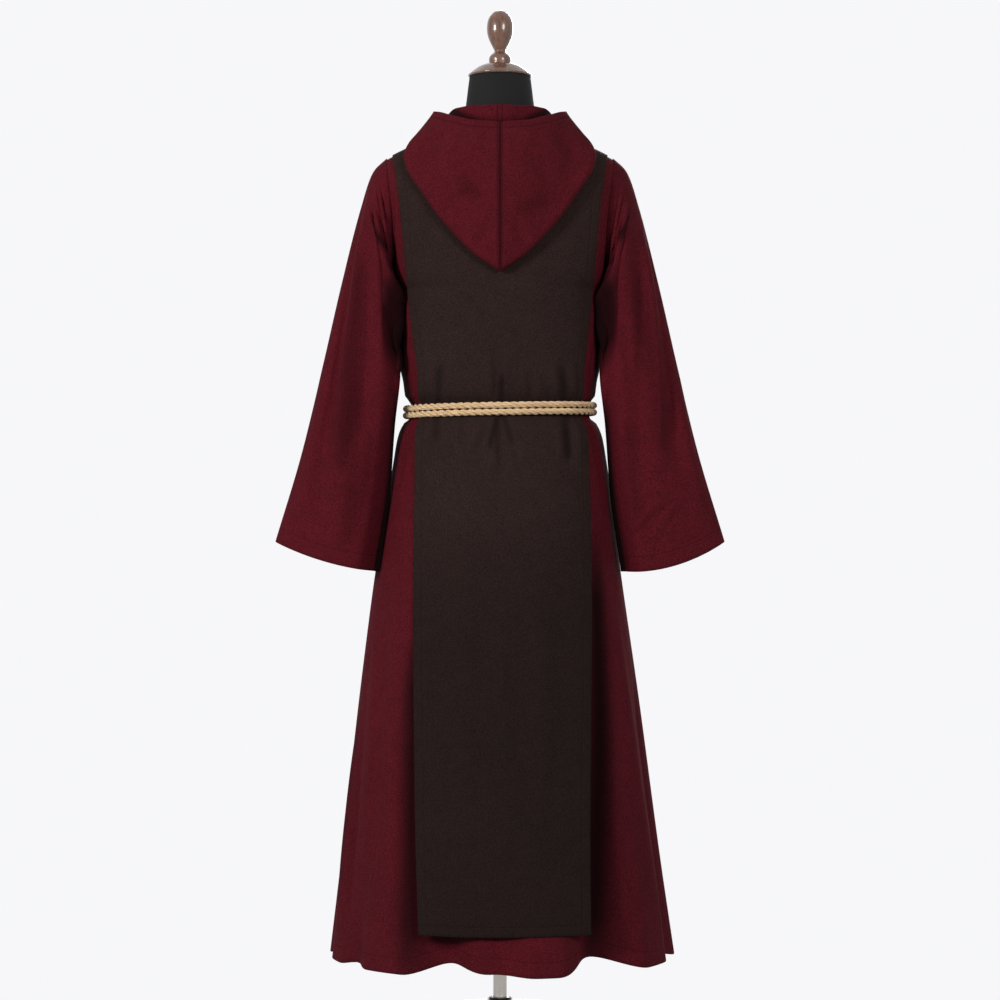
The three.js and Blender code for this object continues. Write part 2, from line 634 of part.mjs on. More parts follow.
function tailPoint(hand, height) {
  const x = hand * TAIL.spread * (1 + 2.2 * (1 - height / WAIST));
  const lift = SCAPULAR_LIFT + SEAM + ROPE.radius + 0.4;
  return lifted((at, rise) => form(FRONT, turnAtX(at, rise), rise), x, height, lift, [1, 2]);
}

function tailEnd(hand) {
  return hand < 0 ? TAIL.end.left : TAIL.end.right;
}

function tail(hand) {
  const top = knotCentre.z - KNOT.z - 7;
  const count = 18;
  const points = Array.from({ length: count + 1 }, (_, i) => {
    const height = THREE.MathUtils.lerp(top, tailEnd(hand), i / count);
    const point = tailPoint(hand, height);
    // It leaves the knot and settles against the scapular.
    point.y = Math.max(point.y, knotCentre.y - 3 - 0.12 * (top - height));
    return point;
  });
  return tube(points, 24, ROPE.radius);
}

function ellipsoid(half) {
  return new THREE.SphereGeometry(1, 12, 8).rotateX(Math.PI / 2).scale(half.x, half.y, half.z);
}

// ---- Dress form and stand ----
// Above the waist the form is the tunic's own grid moved in, and below it has hips of its own.
function torso() {
  const inset = (side) => {
    const rises = (i) => tunicRises(side)(i).filter((rise) => rise > WAIST - 30);
    return movedOut(panelGrid(side, rises), -CLOTH - FORM_GAP, { flip: side === FRONT, settle: inShoulderPlane });
  };
  const [back, front] = [inset(BACK), inset(FRONT)];
  const above = back.map((row, j) => {
    const ring = [...row, ...front[j].reverse()];
    ring.forEach((p, i) => p.setY(i < row.length ? Math.min(p.y, -0.4) : Math.max(p.y, 0.4)));
    return ring;
  });
  const hips = FORM_HIPS.map(({ at, half, back: depthBack, front: depthFront }) =>
    above[0].map((_, i, ring) => {
      const share = ((i + 0.5) / ring.length) * 2 * Math.PI;
      const depth = share < Math.PI ? depthBack : depthFront;
      return vector(-half * Math.cos(share), -depth * Math.sin(share), at);
    }),
  );
  const body = toManifold(loft([...hips, ...above]));
  const neck = toManifold(lathe([[0, NECK[0][1]], ...NECK, [0, NECK.at(-1)[1]]], 24));
  return fromManifold(body.add(neck));
}

function neckCap() {
  return lathe([[0, CAP[0][1]], ...CAP, [0, CAP.at(-1)[1]]], 24);
}

function finial() {
  return lathe([[0, FINIAL[0][1]], ...FINIAL, [0, FINIAL.at(-1)[1]]], 20);
}

function pole() {
  const bottom = PLATE.height + SEAM;
  const length = FORM_BOTTOM - SEAM - bottom;
  return new THREE.CylinderGeometry(POLE_RADIUS, POLE_RADIUS, length, 20)
    .rotateX(Math.PI / 2)
    .translate(0, 0, bottom + length / 2);
}

function basePlate() {
  const { radius, height, bevel } = PLATE;
  return lathe(
    [
      [0, 0],
      [radius, 0],
      [radius, height - bevel],
      [radius - bevel, height],
      [0, height],
    ],
    48,
  );
}

function baseHub() {
  const bottom = PLATE.height + SEAM;
  const top = bottom + HUB.height;
  const bore = POLE_RADIUS + SEAM;
  const corner = [0, 30, 60, 90].map((degrees) => [
    HUB.radius - HUB.round * (1 - Math.cos(radians(degrees))),
    top - HUB.round * (1 - Math.sin(radians(degrees))),
  ]);
  return lathe([[bore, bottom], [HUB.radius, bottom], ...corner, [bore, top], [bore, bottom]], 24);
}

// ---- Assembly ----
const habit = new THREE.Group();

function piece(name, geometry, material, place) {
  const mesh = new THREE.Mesh(geometry, material);
  mesh.name = name;
  if (place) mesh.position.copy(place);
  habit.add(mesh);
}

piece("tunic_back", tunicPanel(BACK), WOOL_RED);
piece("tunic_front", tunicPanel(FRONT), WOOL_RED);
piece("scapular_back", scapularPanel(BACK), WOOL_BROWN);
piece("scapular_front", scapularPanel(FRONT), WOOL_BROWN);
for (const [name, hand] of [
  ["left", -1],
  ["right", 1],
]) {
  piece(`sleeve_${name}`, sleeve(hand), WOOL_RED);
  piece(`hood_${name}`, hood(hand), WOOL_RED);
  piece(`belt_tail_${name}`, tail(hand), COTTON_ROPE);
  const end = tailPoint(hand, tailEnd(hand) - END_KNOT.z - SEAM);
  end.y += END_KNOT.y - ROPE.radius;
  piece(`belt_end_knot_${name}`, ellipsoid(END_KNOT), COTTON_ROPE, end);
}
piece("belt_upper_turn", beltTurn(ROPE.pitch / 2), COTTON_ROPE);
piece("belt_lower_turn", beltTurn(-ROPE.pitch / 2), COTTON_ROPE);
piece("belt_knot", ellipsoid(KNOT), COTTON_ROPE, knotCentre);
piece("form_torso", torso(), JERSEY);
piece("neck_cap", neckCap(), WOOD);
piece("finial", finial(), WOOD);
piece("pole", pole(), CHROME);
piece("base_hub", baseHub(), CHROME);
piece("base_plate", basePlate(), CHROME);

export default habit;
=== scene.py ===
"""The looks of a monk's habit on a limbless dress form. Sizes are millimetres until a mesh is made.
-Y is the wearer's back, +Y the front, and -X the wearer's left."""
import math
from functools import partial

import bmesh
import bpy
import numpy as np
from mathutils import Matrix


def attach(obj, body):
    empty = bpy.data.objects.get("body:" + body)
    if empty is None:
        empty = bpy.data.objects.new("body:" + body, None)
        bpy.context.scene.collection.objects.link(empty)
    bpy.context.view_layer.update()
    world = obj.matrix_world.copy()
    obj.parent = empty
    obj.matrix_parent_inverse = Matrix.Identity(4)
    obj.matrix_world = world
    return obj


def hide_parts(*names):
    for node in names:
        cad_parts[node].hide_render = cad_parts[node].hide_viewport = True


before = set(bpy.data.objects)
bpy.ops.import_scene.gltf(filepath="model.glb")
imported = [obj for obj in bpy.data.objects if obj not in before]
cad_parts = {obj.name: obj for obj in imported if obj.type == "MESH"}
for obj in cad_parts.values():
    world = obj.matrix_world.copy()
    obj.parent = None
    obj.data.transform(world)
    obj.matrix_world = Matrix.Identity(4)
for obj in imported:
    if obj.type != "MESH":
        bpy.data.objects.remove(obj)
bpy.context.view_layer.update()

# ---- Camera, floor and light ----
CAMERA_HEIGHT = 0.93
CAMERA_DISTANCE = 4.5
FRAME_WIDTH = 1.77  # metres across the picture at the pole

scene = bpy.context.scene
camera = bpy.data.objects.new("camera", bpy.data.cameras.new("camera"))
camera.location = (0, -CAMERA_DISTANCE, CAMERA_HEIGHT)
camera.rotation_euler = (math.pi / 2, 0, 0)
camera.data.sensor_width = 36
camera.data.lens = 36 * CAMERA_DISTANCE / FRAME_WIDTH
camera.data.clip_end = 200
scene.collection.objects.link(camera)
scene.camera = camera
scene.view_settings.view_transform = "Standard"

WORLD_LIGHT = 0.13
BACKDROP = (0.93, 0.93, 0.947, 1)
FLOOR_WIDTH, DOME_RADIUS = 70, 36
LAMPS = [
    # name, place, aim, size, watts
    ("key", (-3.3, -3.1, 2.3), (0, 0, 0.95), 1.1, 152),
    ("fill", (2.4, -4.0, 2.5), (0, 0, 1.0), 1.4, 98),
    ("front", (0.8, 4.3, 2.6), (0, 0, 1.0), 1.8, 115),
]

# ---- The garment's sizes, as the solids have them ----
CLOTH = 2.2
SEAM = 0.3
SQUARE_WITHIN = 8
LAY = 0.5
TUNIC_SINK = 5  # how far the tunic sinks where the scapular covers it
SINK_FADE = 40
BACK, FRONT = -1, 1
HEM_SIDE = 131
HEM_IN_TROUGH = 0.42
RIDGE = 1588
SHOULDER = 1430
UNDERARM = 1300
WAIST = 1088
SCAPULAR_BOTTOM = 199
SCAPULAR_LIFT = LAY + CLOTH
HOOD_LIFT = SCAPULAR_LIFT + 3.2
TUNIC_NECK = {"half": 86, "back": 76, "front": 90}
SCAPULAR_NECK = {"half": 104, "back": 92, "front": 103}
MIDDLE_COLUMNS = 10
FLANK_COLUMNS = 6
COLUMNS = MIDDLE_COLUMNS + 2 * FLANK_COLUMNS
UNSTITCHED = 500.0  # a distance from a stitched edge that no stitch line has


def table(columns, *rows):
    """A table's columns by name."""
    return {name: np.array([row[i] for row in rows], float) for i, name in enumerate(columns.split())}


BODY = table(
    "at drop half back front edge round shift",
    (120, 0, 306, 262, 256, 0, 2.05, 3.5),
    (300, 0, 282, 240, 234, 0, 2.05, 1),
    (576, 0, 248, 206, 200, 0, 2.1, -2),
    (788, 0, 219, 174, 170, 0, 2.1, -3.5),
    (900, 0, 203, 156, 152, 0, 2.15, -2),
    (1000, 0, 188, 136, 132, 0, 2.2, 0),
    (1040, 0, 181, 125.5, 122.5, 0, 2.2, 0),
    (1064, 0, 171, 114, 113.5, 0, 2.25, 0),
    (1077, 0, 157, 104, 106, 0, 2.25, 0),
    (1099, 0, 156.5, 103, 106, 0, 2.25, 0),
    (1112, 0, 167.5, 111, 113, 0, 2.25, 0),
    (1140, 0, 171.5, 117, 118, 0, 2.3, 0),
    (1165, 0, 177, 119, 121, 0, 2.3, 0),
    (1200, 0, 179.4, 121, 124, 0, 2.3, 0),
    (1250, 0, 181.2, 123, 126, 0, 2.3, 0),
    (UNDERARM, 0, 182.2, 125.4, 127, 0, 2.3, 0),
    (1309, 0, 182.3, 125.2, 126.7, 24, 2.3, 0),
    (1335, 0, 182.6, 124.6, 125, 45, 2.3, 0),
    (1375, 0, 184, 123, 121, 59, 2.3, 0),
    (1430, -2, 188, 119, 114, 65, 2.25, 0),
    (1490, -14, 194, 107, 101, 61, 2.2, 0),
    (1540, -31, 198, 87, 82, 45, 2.15, 0),
    (1570, -45, 199.5, 58, 56, 25, 2.1, 0),
    (RIDGE, -56, 200, 0, 0, 0, 2, 0),
)
# angle is the degrees from the centre back at the hem, drift how far a trough turns by its top.
TROUGHS = table(
    "angle drift width depth top",
    (-58, -2, 9, 13, 860),
    (-18.5, -14, 15, 42, 960),
    (-2, -2, 13, 13, 700),
    (36.5, 3, 19, 52, 940),
    (77, 3, 9, 14, 800),
    (105, 0, 12, 24, 900),
    (136, 4, 16, 34, 940),
    (176, -3, 15, 32, 900),
    (-146, 2, 15, 38, 960),
    (-112, -4, 13, 26, 880),
    (-84, 0, 8, 10, 760),
)
SCAPULAR = table(
    "at half shift",
    (SCAPULAR_BOTTOM, 144, 8),
    (400, 147, 4.5),
    (576, 149.5, 4.2),
    (760, 152, 4.3),
    (900, 151, 4.3),
    (1036, 145.5, 2.5),
    (1077, 140, 1),
    (1142, 141, 1),
    (1213, 150.5, 0.5),
    (1284, 158.5, 0),
    (1450, 173.5, 0),
    (RIDGE, 189, 0),
)
# at is the share of the sleeve's length from the armhole.
SLEEVE = table(
    "at topX topZ underX underZ depth behind lean",
    (0, 200, 1532, 182, UNDERARM, 65, 0, 0),
    (0.08, 222, 1509, 186, 1288, 66, 2, 10),
    (0.2, 244, 1443, 182.5, 1245, 63, 8, 34),
    (0.4, 277, 1310, 176, 1160, 55, 18, 34),
    (0.6, 309.5, 1165, 186, 1060, 48, 29, 20),
    (0.8, 346, 1010, 195, 935, 42, 40, 14),
    (1, 391, 857, 213, 806, 37, 50, 12),
)
SLEEVE_TROUGHS = table(
    "turn width depth start end",
    (62, 34, 13, 0.12, 0.95),
    (148, 36, 40, -0.06, 0.62),
    (158, 32, 46, 0.45, 1.5),
    (246, 32, 11, 0.05, 0.7),
    (302, 34, 12, 0.2, 1.1),
)
CUFF_SAG = {-1: 8, 1: 15}
# at is the degrees round the neck from the throat.
HOOD = table(
    "at rimOut rimZ belly foldZ foldLift rollOut rollZ",
    (0, 103, 1518, 0, 1500, 12, 99, 1524),
    (22, 104, 1534, 2, 1503, 13, 96, 1535),
    (50, 108, 1573, 5, 1523, 13, 92, 1572),
    (80, 113, 1603, 3, 1552, 11, 91, 1598),
    (92, 117, 1609, 1, 1558, 10, 91, 1603),
    (104, 121, 1612, -2, 1548, 12, 90, 1609),
    (122, 127, 1607, 3, 1484, 14, 88, 1614),
    (142, 131, 1595, 13, 1404, 16, 86, 1614),
    (160, 129, 1585, 22, 1356, 17, 84, 1613),
    (180, 128, 1581, 27, 1325, 17, 84, 1613),
)
HOOD_REACH = (40, 198)
HOOD_POINTS = 127
HOOD_FOLD, HOOD_INNER = 46, 70  # the points where the outer layer ends and the inner one begins
# The strength of the painted shade inside the hood, below its rim.
HOOD_INSIDE_SHADE = 0.88
BELT_HALF_HEIGHT = 16
BELT_PUFF = 8
SOFTNESS = 1.4  # of the change between cloth that lies and cloth that stands out
ROPE_RADIUS = 5.75
ROPE_TILT = 0.018
ROPE_PITCH = 12
ROPE_CLEAR = 1
ROPE_LAY = 40
STRANDS_ACROSS = 2.155  # the rope's radius over the radius of one of its three strands
BELT_HALF = 165
BELT_FRONT = 160
KNOT = (17, 12, 18)
KNOT_OUT = 6.3
TAIL_GAP = 7
TAIL_SPREAD = 6.6
TAIL_FLARE = 2.2
TAIL_END = {-1: 470, 1: 438}
END_KNOT = (10, 9, 13)
END_ROPE_RADIUS = 4.6

# ---- Creases, from one end to the other in the coordinates of the piece ----
def folds(*rows):
    """A table of soft troughs. A negative depth is a ridge, and a row without a bow is straight."""
    return table("s0 z0 s1 z1 width depth bow", *[(*row, 0)[:7] for row in rows])


DEGREE = 3
# s is DEGREE times the degrees from the middle of the back or front, z the height.
TUNIC_CREASES = {
    BACK: folds(
        (-238, 560, -214, 150, 13, -6, 5),
        (-190, 700, -176, 140, 12, -7, -6),
        (-206, 520, -196, 150, 7, 4),
        (190, 760, 204, 160, 13, -6, 6),
        (168, 640, 158, 180, 8, 4, 4),
        (232, 620, 226, 190, 9, 4),
        (150, 820, 112, 150, 15, 9),
        (-106, 520, -92, 150, 14, 7),
        (-172, 1070, -196, 930, 9, 3, 4),
        (176, 1072, 204, 900, 9, 3, -5),
        (-196, 1110, -188, 1190, 8, 3, 2),
        (196, 1112, 190, 1210, 8, 3, -2),
        (-250, 1285, -208, 1215, 9, 4, 6),
        (250, 1288, 210, 1225, 9, 4, -6),
        (-252, 1330, -224, 1480, 8, 3, -3),
        (252, 1336, 226, 1484, 8, 3, 3),
    ),
    FRONT: folds(
        (-226, 640, -206, 160, 12, -6, 5),
        (212, 700, 226, 170, 12, -6, -5),
        (-186, 560, -196, 190, 8, 4, 3),
        (-182, 1070, -206, 930, 9, 3, 4),
        (184, 1072, 210, 920, 9, 3, -5),
        (-250, 1288, -214, 1230, 9, 4, 6),
        (250, 1288, 214, 1230, 9, 4, -6),
    ),
}
# s is the distance from the centre line, z the height; a scapular only ever stands out from its solid.
SCAPULAR_CREASES = {
    BACK: folds(
        (-4, 1104, -8, 1196, 7, 7, 3),
        (-2, 1076, 4, 968, 8, 8, -4),
        (6, 1074, 30, 1000, 7, 5, 2),
        (-14, 1074, -40, 1010, 7, 4, -2),
        (-108, 1100, -98, 1180, 8, 5),
        (-104, 1076, -112, 990, 8, 5, 3),
        (116, 1100, 106, 1176, 8, 5),
        (112, 1076, 120, 985, 9, 5, -3),
        (58, 1102, 50, 1158, 7, 3),
        (-56, 1074, -62, 1018, 7, 3),
        (-60, 900, -46, 330, 26, -4, 8),
        (66, 860, 60, 300, 24, -4, -6),
        (4, 820, 12, 260, 22, -3),
    ),
    FRONT: folds(
        (-30, 1104, -36, 1180, 8, 5, 3),
        (34, 1104, 40, 1190, 8, 5, -3),
        (-34, 1074, -46, 985, 8, 5, 3),
        (38, 1074, 52, 975, 8, 5, -3),
        (-104, 1074, -110, 1000, 8, 4, 3),
        (108, 1076, 114, 1005, 8, 4, -3),
        (-70, 880, -60, 330, 26, -4, 8),
        (64, 900, 70, 300, 24, -4, -6),
    ),
}
# s is the degrees round the sleeve from its top line over the back, z the way down in thousandths.
SLEEVE_CREASES = {
    -1: folds(
        (40, 60, 134, 92, 7, 6, 3),
        (56, 112, 140, 200, 10, 11, 8),
        (120, 90, 158, 430, 14, 24, 5),
        (46, 120, 82, 900, 12, 15, 4),
        (104, 240, 112, 760, 16, -7, -5),
        (112, 640, 100, 960, 12, 6, -4),
        (30, 620, 44, 960, 11, 4, 4),
        (236, 60, 262, 520, 12, 8, 8),
        (300, 260, 288, 900, 12, 9, -6),
        (206, 30, 224, 260, 11, 8),
        (330, 480, 322, 930, 12, 6, 3),
    ),
    1: folds(
        (44, 66, 128, 88, 7, 5, 3),
        (58, 120, 138, 206, 10, 11, 8),
        (120, 90, 156, 415, 14, 24, 5),
        (38, 240, 88, 800, 12, 15, -4),
        (108, 260, 104, 800, 16, -7, -5),
        (100, 860, 128, 905, 6, 6, 3),
        (70, 876, 96, 910, 6, 4, 2),
        (26, 640, 36, 930, 11, 4, 4),
        (240, 60, 258, 480, 12, 8, 8),
        (296, 220, 290, 860, 12, 9, -6),
        (208, 30, 226, 280, 11, 8),
        (332, 520, 326, 900, 12, 6, 3),
    ),
}
# Painted shade, put in the cloth's colour where the deepest folds hold less light: the same columns as a
# crease's, with the shade's strength as its depth.
TUNIC_SHADES = {
    BACK: folds(
        (158, 880, 110, 100, 17, 0.93),
        (-112, 700, -92, 110, 15, 0.75),
        (-246, 1310, -242, 1076, 36, 0.95),
        (246, 1310, 242, 1076, 36, 0.95),
        (-252, 1110, -250, 800, 30, 0.9),
        (252, 1110, 250, 800, 30, 0.9),
        (-240, 700, -222, 130, 11, 0.3),
        (236, 700, 222, 130, 10, 0.3),
    ),
    FRONT: folds(
        (-150, 820, -112, 110, 15, 0.7),
        (146, 760, 108, 110, 15, 0.7),
        (-250, 1380, -222, 1180, 12, 0.5),
        (250, 1380, 222, 1180, 12, 0.5),
    ),
}
SCAPULAR_SHADES = {
    BACK: folds(
        # The first row only darkens the scapular towards its hem.
        (0, 900, 0, -300, 400, 0.35),
        (4, 1150, 0, 1078, 6, 0.6),
        (2, 1096, -20, 1016, 5, 0.55),
        (0, 1096, 22, 1022, 5, 0.45),
        (-104, 1166, -108, 1080, 6, 0.45),
        (-108, 1096, -112, 1030, 6, 0.4),
        (108, 1162, 112, 1080, 6, 0.4),
        (112, 1096, 118, 996, 7, 0.45),
    ),
    # Its one row only darkens the scapular towards its hem.
    FRONT: folds((0, 900, 0, -300, 400, 0.35)),
}
# On the hood s is the distance from the centre seam, as its creases have it.
HOOD_SHADES = {
    # The first row of each half darkens the centre seam's line; the second is painted shade on the side of
    # the hood.
    -1: folds((0, 1700, 0, 1230, 2, 0.8), (-70, 1494, -38, 1440, 15, 0.22)),
    1: folds((0, 1700, 0, 1230, 2, 0.8), (84, 1452, 26, 1420, 14, 0.25)),
}
SLEEVE_SHADES = {
    -1: folds(
        (131, -60, 150, 450, 27, 1),
        (164, 30, 172, 460, 22, 1),
        (54, 158, 136, 112, 9, 0.85),
        (172, 470, 172, 1120, 20, 1),
        (120, 110, 138, 400, 12, 0.9),
        (60, 260, 86, 800, 13, 0.42, 3),
        (96, 560, 104, 980, 9, 0.2),
        (296, 240, 290, 900, 12, 0.35),
    ),
    1: folds(
        (131, -60, 148, 435, 25, 1),
        (164, 30, 170, 445, 22, 1),
        (54, 156, 130, 106, 9, 0.85),
        (168, 500, 172, 1120, 20, 1),
        (120, 110, 136, 400, 12, 0.9),
        (66, 300, 80, 760, 13, 0.3, -3),
        (118, 620, 122, 900, 9, 0.25),
        (296, 240, 290, 900, 12, 0.35),
    ),
}
# s and z are the place across the hood and its height, for the outer layer.
HOOD_CREASES = {
    -1: folds(
        (-34, 1508, -86, 1486, 9, 6, 6),
        (-36, 1456, -84, 1438, 8, 5, 5),
        (-96, 1570, -128, 1500, 12, 5, 8),
        (-18, 1400, -40, 1352, 7, 3, 2),
        (-60, 1560, -30, 1530, 14, -4),
    ),
    1: folds(
        (40, 1520, 92, 1476, 12, 4, -6),
        (90, 1574, 130, 1510, 12, 5, -8),
        (22, 1410, 48, 1370, 8, 3),
        (56, 1562, 34, 1536, 14, -3),
    ),
}


# ---- Reading the tables ----
def read(tab, column, at):
    """A column's value between the rows, on a curve that never overshoots them."""
    xs, ys = tab["at"], tab[column]
    slopes = np.diff(ys) / np.diff(xs)
    tangents = np.concatenate([slopes[:1], np.zeros(len(xs) - 2), slopes[-1:]])
    before, after = slopes[:-1], slopes[1:]
    same = before * after > 0
    tangents[1:-1][same] = (2 * before * after)[same] / (before + after)[same]
    place = np.clip(at, xs[0], xs[-1])
    i = np.clip(np.searchsorted(xs, place, side="right") - 1, 0, len(slopes) - 1)
    span = xs[i + 1] - xs[i]
    t = (place - xs[i]) / span
    ease = t * t * (3 - 2 * t)
    bend = span * t * (1 - t) * ((1 - t) * tangents[i] - t * tangents[i + 1])
    return ys[i] + (ys[i + 1] - ys[i]) * ease + bend


def bisect(shape, low, high, reached, steps=26):
    """Where a rising test first turns true between two values, for an array of places."""
    low, high = np.full(shape, float(low)), np.full(shape, float(high))
    for _ in range(steps):
        middle = (low + high) / 2
        hit = reached(middle)
        low, high = np.where(hit, low, middle), np.where(hit, middle, high)
    return (low + high) / 2


def bump(share):
    return np.where(np.abs(share) < 1, np.cos(np.clip(share, -1, 1) * math.pi / 2) ** 2, 0)


def across_folds(rows, s, z):
    """For each row, how near its middle each point lies, how far off it in widths, and the row's depth."""
    for s0, z0, s1, z1, width, depth, bow in zip(*rows.values()):
        length = math.hypot(s1 - s0, z1 - z0)
        inside = np.clip(((s - s0) * (s1 - s0) + (z - z0) * (z1 - z0)) / length**2, 0, 1)
        across = ((s - s0) * (z1 - z0) - (z - z0) * (s1 - s0)) / length - bow * np.sin(math.pi * inside)
        yield 4 * inside * (1 - inside), across / width, depth


def creased(rows, s, z):
    """How far the creases move the cloth out at each point, with a low lip on each side."""
    out = np.zeros(np.broadcast(s, z).shape)
    for along, off, depth in across_folds(rows, s, z):
        lips = 0.3 * np.exp(-(((np.abs(off) - 1.9) / 0.8) ** 2))
        out -= depth * along**0.9 * (np.exp(-off * off) - lips)
    return out


def shaded(rows, s, z):
    """How deep in the painted shade of a fold each point is, from 0 to 1."""
    out = np.zeros(np.broadcast(s, z).shape)
    for along, off, depth in across_folds(rows, s, z):
        taper = np.minimum(1, 1.6 * along**0.7)
        out = np.maximum(out, depth * taper * np.exp(-(np.abs(off) ** 2.5)))
    return out


# ---- Surfaces ----
def form(side, turn, rise):
    """A point of the tunic's outer form without its troughs."""
    power = 2 / read(BODY, "round", rise)
    across = np.sign(np.sin(turn)) * np.abs(np.sin(turn)) ** power
    bow = np.abs(np.cos(turn)) ** power
    edge = read(BODY, "edge", rise)
    depth = read(BODY, "back" if side == BACK else "front", rise)
    x = read(BODY, "shift", rise) + read(BODY, "half", rise) * across
    y = side * (edge + (depth - edge) * bow)
    z = rise + read(BODY, "drop", rise) * across**2
    return np.stack([x, y, z], -1)


def turn_at_x(x, rise):
    share = np.clip((x - read(BODY, "shift", rise)) / read(BODY, "half", rise), -1, 1)
    return np.sign(share) * np.arcsin(np.abs(share) ** (read(BODY, "round", rise) / 2))


def unit(v):
    return v / np.maximum(np.linalg.norm(v, axis=-1, keepdims=True), 1e-9)


def lifted(surface, u, v, lift, du, dv):
    """A surface's point moved off it, away from the body."""
    point = surface(u, v)
    along_u = surface(u + du, v) - surface(u - du, v)
    along_v = surface(u, np.minimum(v + dv, RIDGE)) - surface(u, v - dv)
    normal = unit(np.cross(along_u, along_v))
    outward = point.copy()
    outward[..., 2] = 0.6 * np.maximum(0, point[..., 2] - UNDERARM)
    sign = np.where((normal * outward).sum(-1, keepdims=True) < 0, -1, 1)
    return point + normal * sign * lift


def trough_depth(angle, height):
    """How far the skirt's troughs sink the cloth, at an angle from the centre back."""
    total = np.zeros(np.broadcast(angle, height).shape)
    for centre, drift, width, depth, top in zip(*TROUGHS.values()):
        share = np.clip((top - height) / (top - HEM_SIDE), 0, 1)
        off = angle - np.radians(centre + drift * (1 - share))
        off = np.arctan2(np.sin(off), np.cos(off))
        total += depth * share**1.3 * bump(off / math.radians(width))
    return total


def angle_of(side, turn):
    return turn if side == BACK else math.pi - turn


def column_turn(column, rise):
    along = (column - FLANK_COLUMNS) / MIDDLE_COLUMNS
    share = np.clip(along, 0, 1)
    x = read(SCAPULAR, "shift", rise) + (2 * share - 1) * read(SCAPULAR, "half", rise)
    edge = turn_at_x(x, rise)
    left = -math.pi / 2 + (edge + math.pi / 2) * column / FLANK_COLUMNS
    right = math.pi / 2 + (edge - math.pi / 2) * (COLUMNS - column) / FLANK_COLUMNS
    return np.where(along < 0, left, np.where(along > 1, right, edge))


def in_neck(neck, p):
    depth = np.where(p[..., 1] < 0, neck["back"], neck["front"])
    return (p[..., 0] / neck["half"]) ** 2 + (p[..., 1] / depth) ** 2 < 1


def column_top(side, column, neck):
    def reached(rise):
        return in_neck(neck, form(side, column_turn(column, rise), rise))

    cut = bisect(column.shape, UNDERARM, RIDGE, reached)
    return np.where(reached(float(RIDGE)), cut, RIDGE)


def grid_normals(grid, flip, closed=False):
    """The way out at each point of a grid of rows and columns."""
    if closed:
        wide = np.concatenate([grid[:, -2:-1], grid, grid[:, 1:2]], 1)
        along_u = wide[:, 2:] - wide[:, :-2]
    else:
        along_u = np.gradient(grid, axis=1)
    normal = unit(np.cross(along_u, np.gradient(grid, axis=0)))
    return -normal if flip else normal


def moved(grid, moves, flip, closed=False):
    return grid + grid_normals(grid, flip, closed) * moves[..., None]


# ---- Meshes ----
def make_mesh(name, vertices, quads, material, uvs, sharp_from=None):
    """A mesh object in metres that rides on the part and stands for the solid of its name."""
    mesh = bpy.data.meshes.new(name)
    mesh.vertices.add(len(vertices))
    mesh.vertices.foreach_set("co", (np.asarray(vertices) * 0.001).ravel())
    quads = np.asarray(quads)
    mesh.loops.add(quads.size)
    mesh.loops.foreach_set("vertex_index", quads.ravel())
    mesh.polygons.add(len(quads))
    mesh.polygons.foreach_set("loop_start", np.arange(len(quads)) * quads.shape[1])
    mesh.polygons.foreach_set("use_smooth", np.ones(len(quads), bool))
    for layer, values in uvs.items():
        mesh.uv_layers.new(name=layer).data.foreach_set("uv", np.asarray(values)[quads.ravel()].ravel())
    mesh.update(calc_edges=True)
    mesh.validate()
    weld(mesh, sharp_from)
    mesh.materials.append(material)
    obj = bpy.data.objects.new(f"{name}_look", mesh)
    scene.collection.objects.link(obj)
    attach(obj, "root")
    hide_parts(name)
    return obj


def weld(mesh, sharp_from):
    """Joins the points that coincide, so that shading runs across them up to an angle in degrees."""
    bm = bmesh.new()
    bm.from_mesh(mesh)
    bmesh.ops.remove_doubles(bm, verts=bm.verts, dist=2e-6)
    bmesh.ops.recalc_face_normals(bm, faces=bm.faces)
    bm.normal_update()
    for edge in bm.edges if sharp_from else []:
        if len(edge.link_faces) == 2:
            edge.smooth = edge.calc_face_angle(0) < math.radians(sharp_from)
    bm.to_mesh(mesh)
    bm.free()


def grid_quads(rows, columns, start=0, flip=False):
    j, i = np.meshgrid(np.arange(rows - 1), np.arange(columns - 1), indexing="ij")
    a = (j * columns + i + start).ravel()
    quads = np.stack([a, a + 1, a + columns + 1, a + columns], -1)
    return quads[:, ::-1] if flip else quads


def lengths_along(grid, axis):
    steps = np.linalg.norm(np.diff(grid, axis=axis), axis=-1)
    zero = np.zeros_like(np.take(steps, [0], axis))
    return np.concatenate([zero, np.cumsum(steps, axis)], axis)


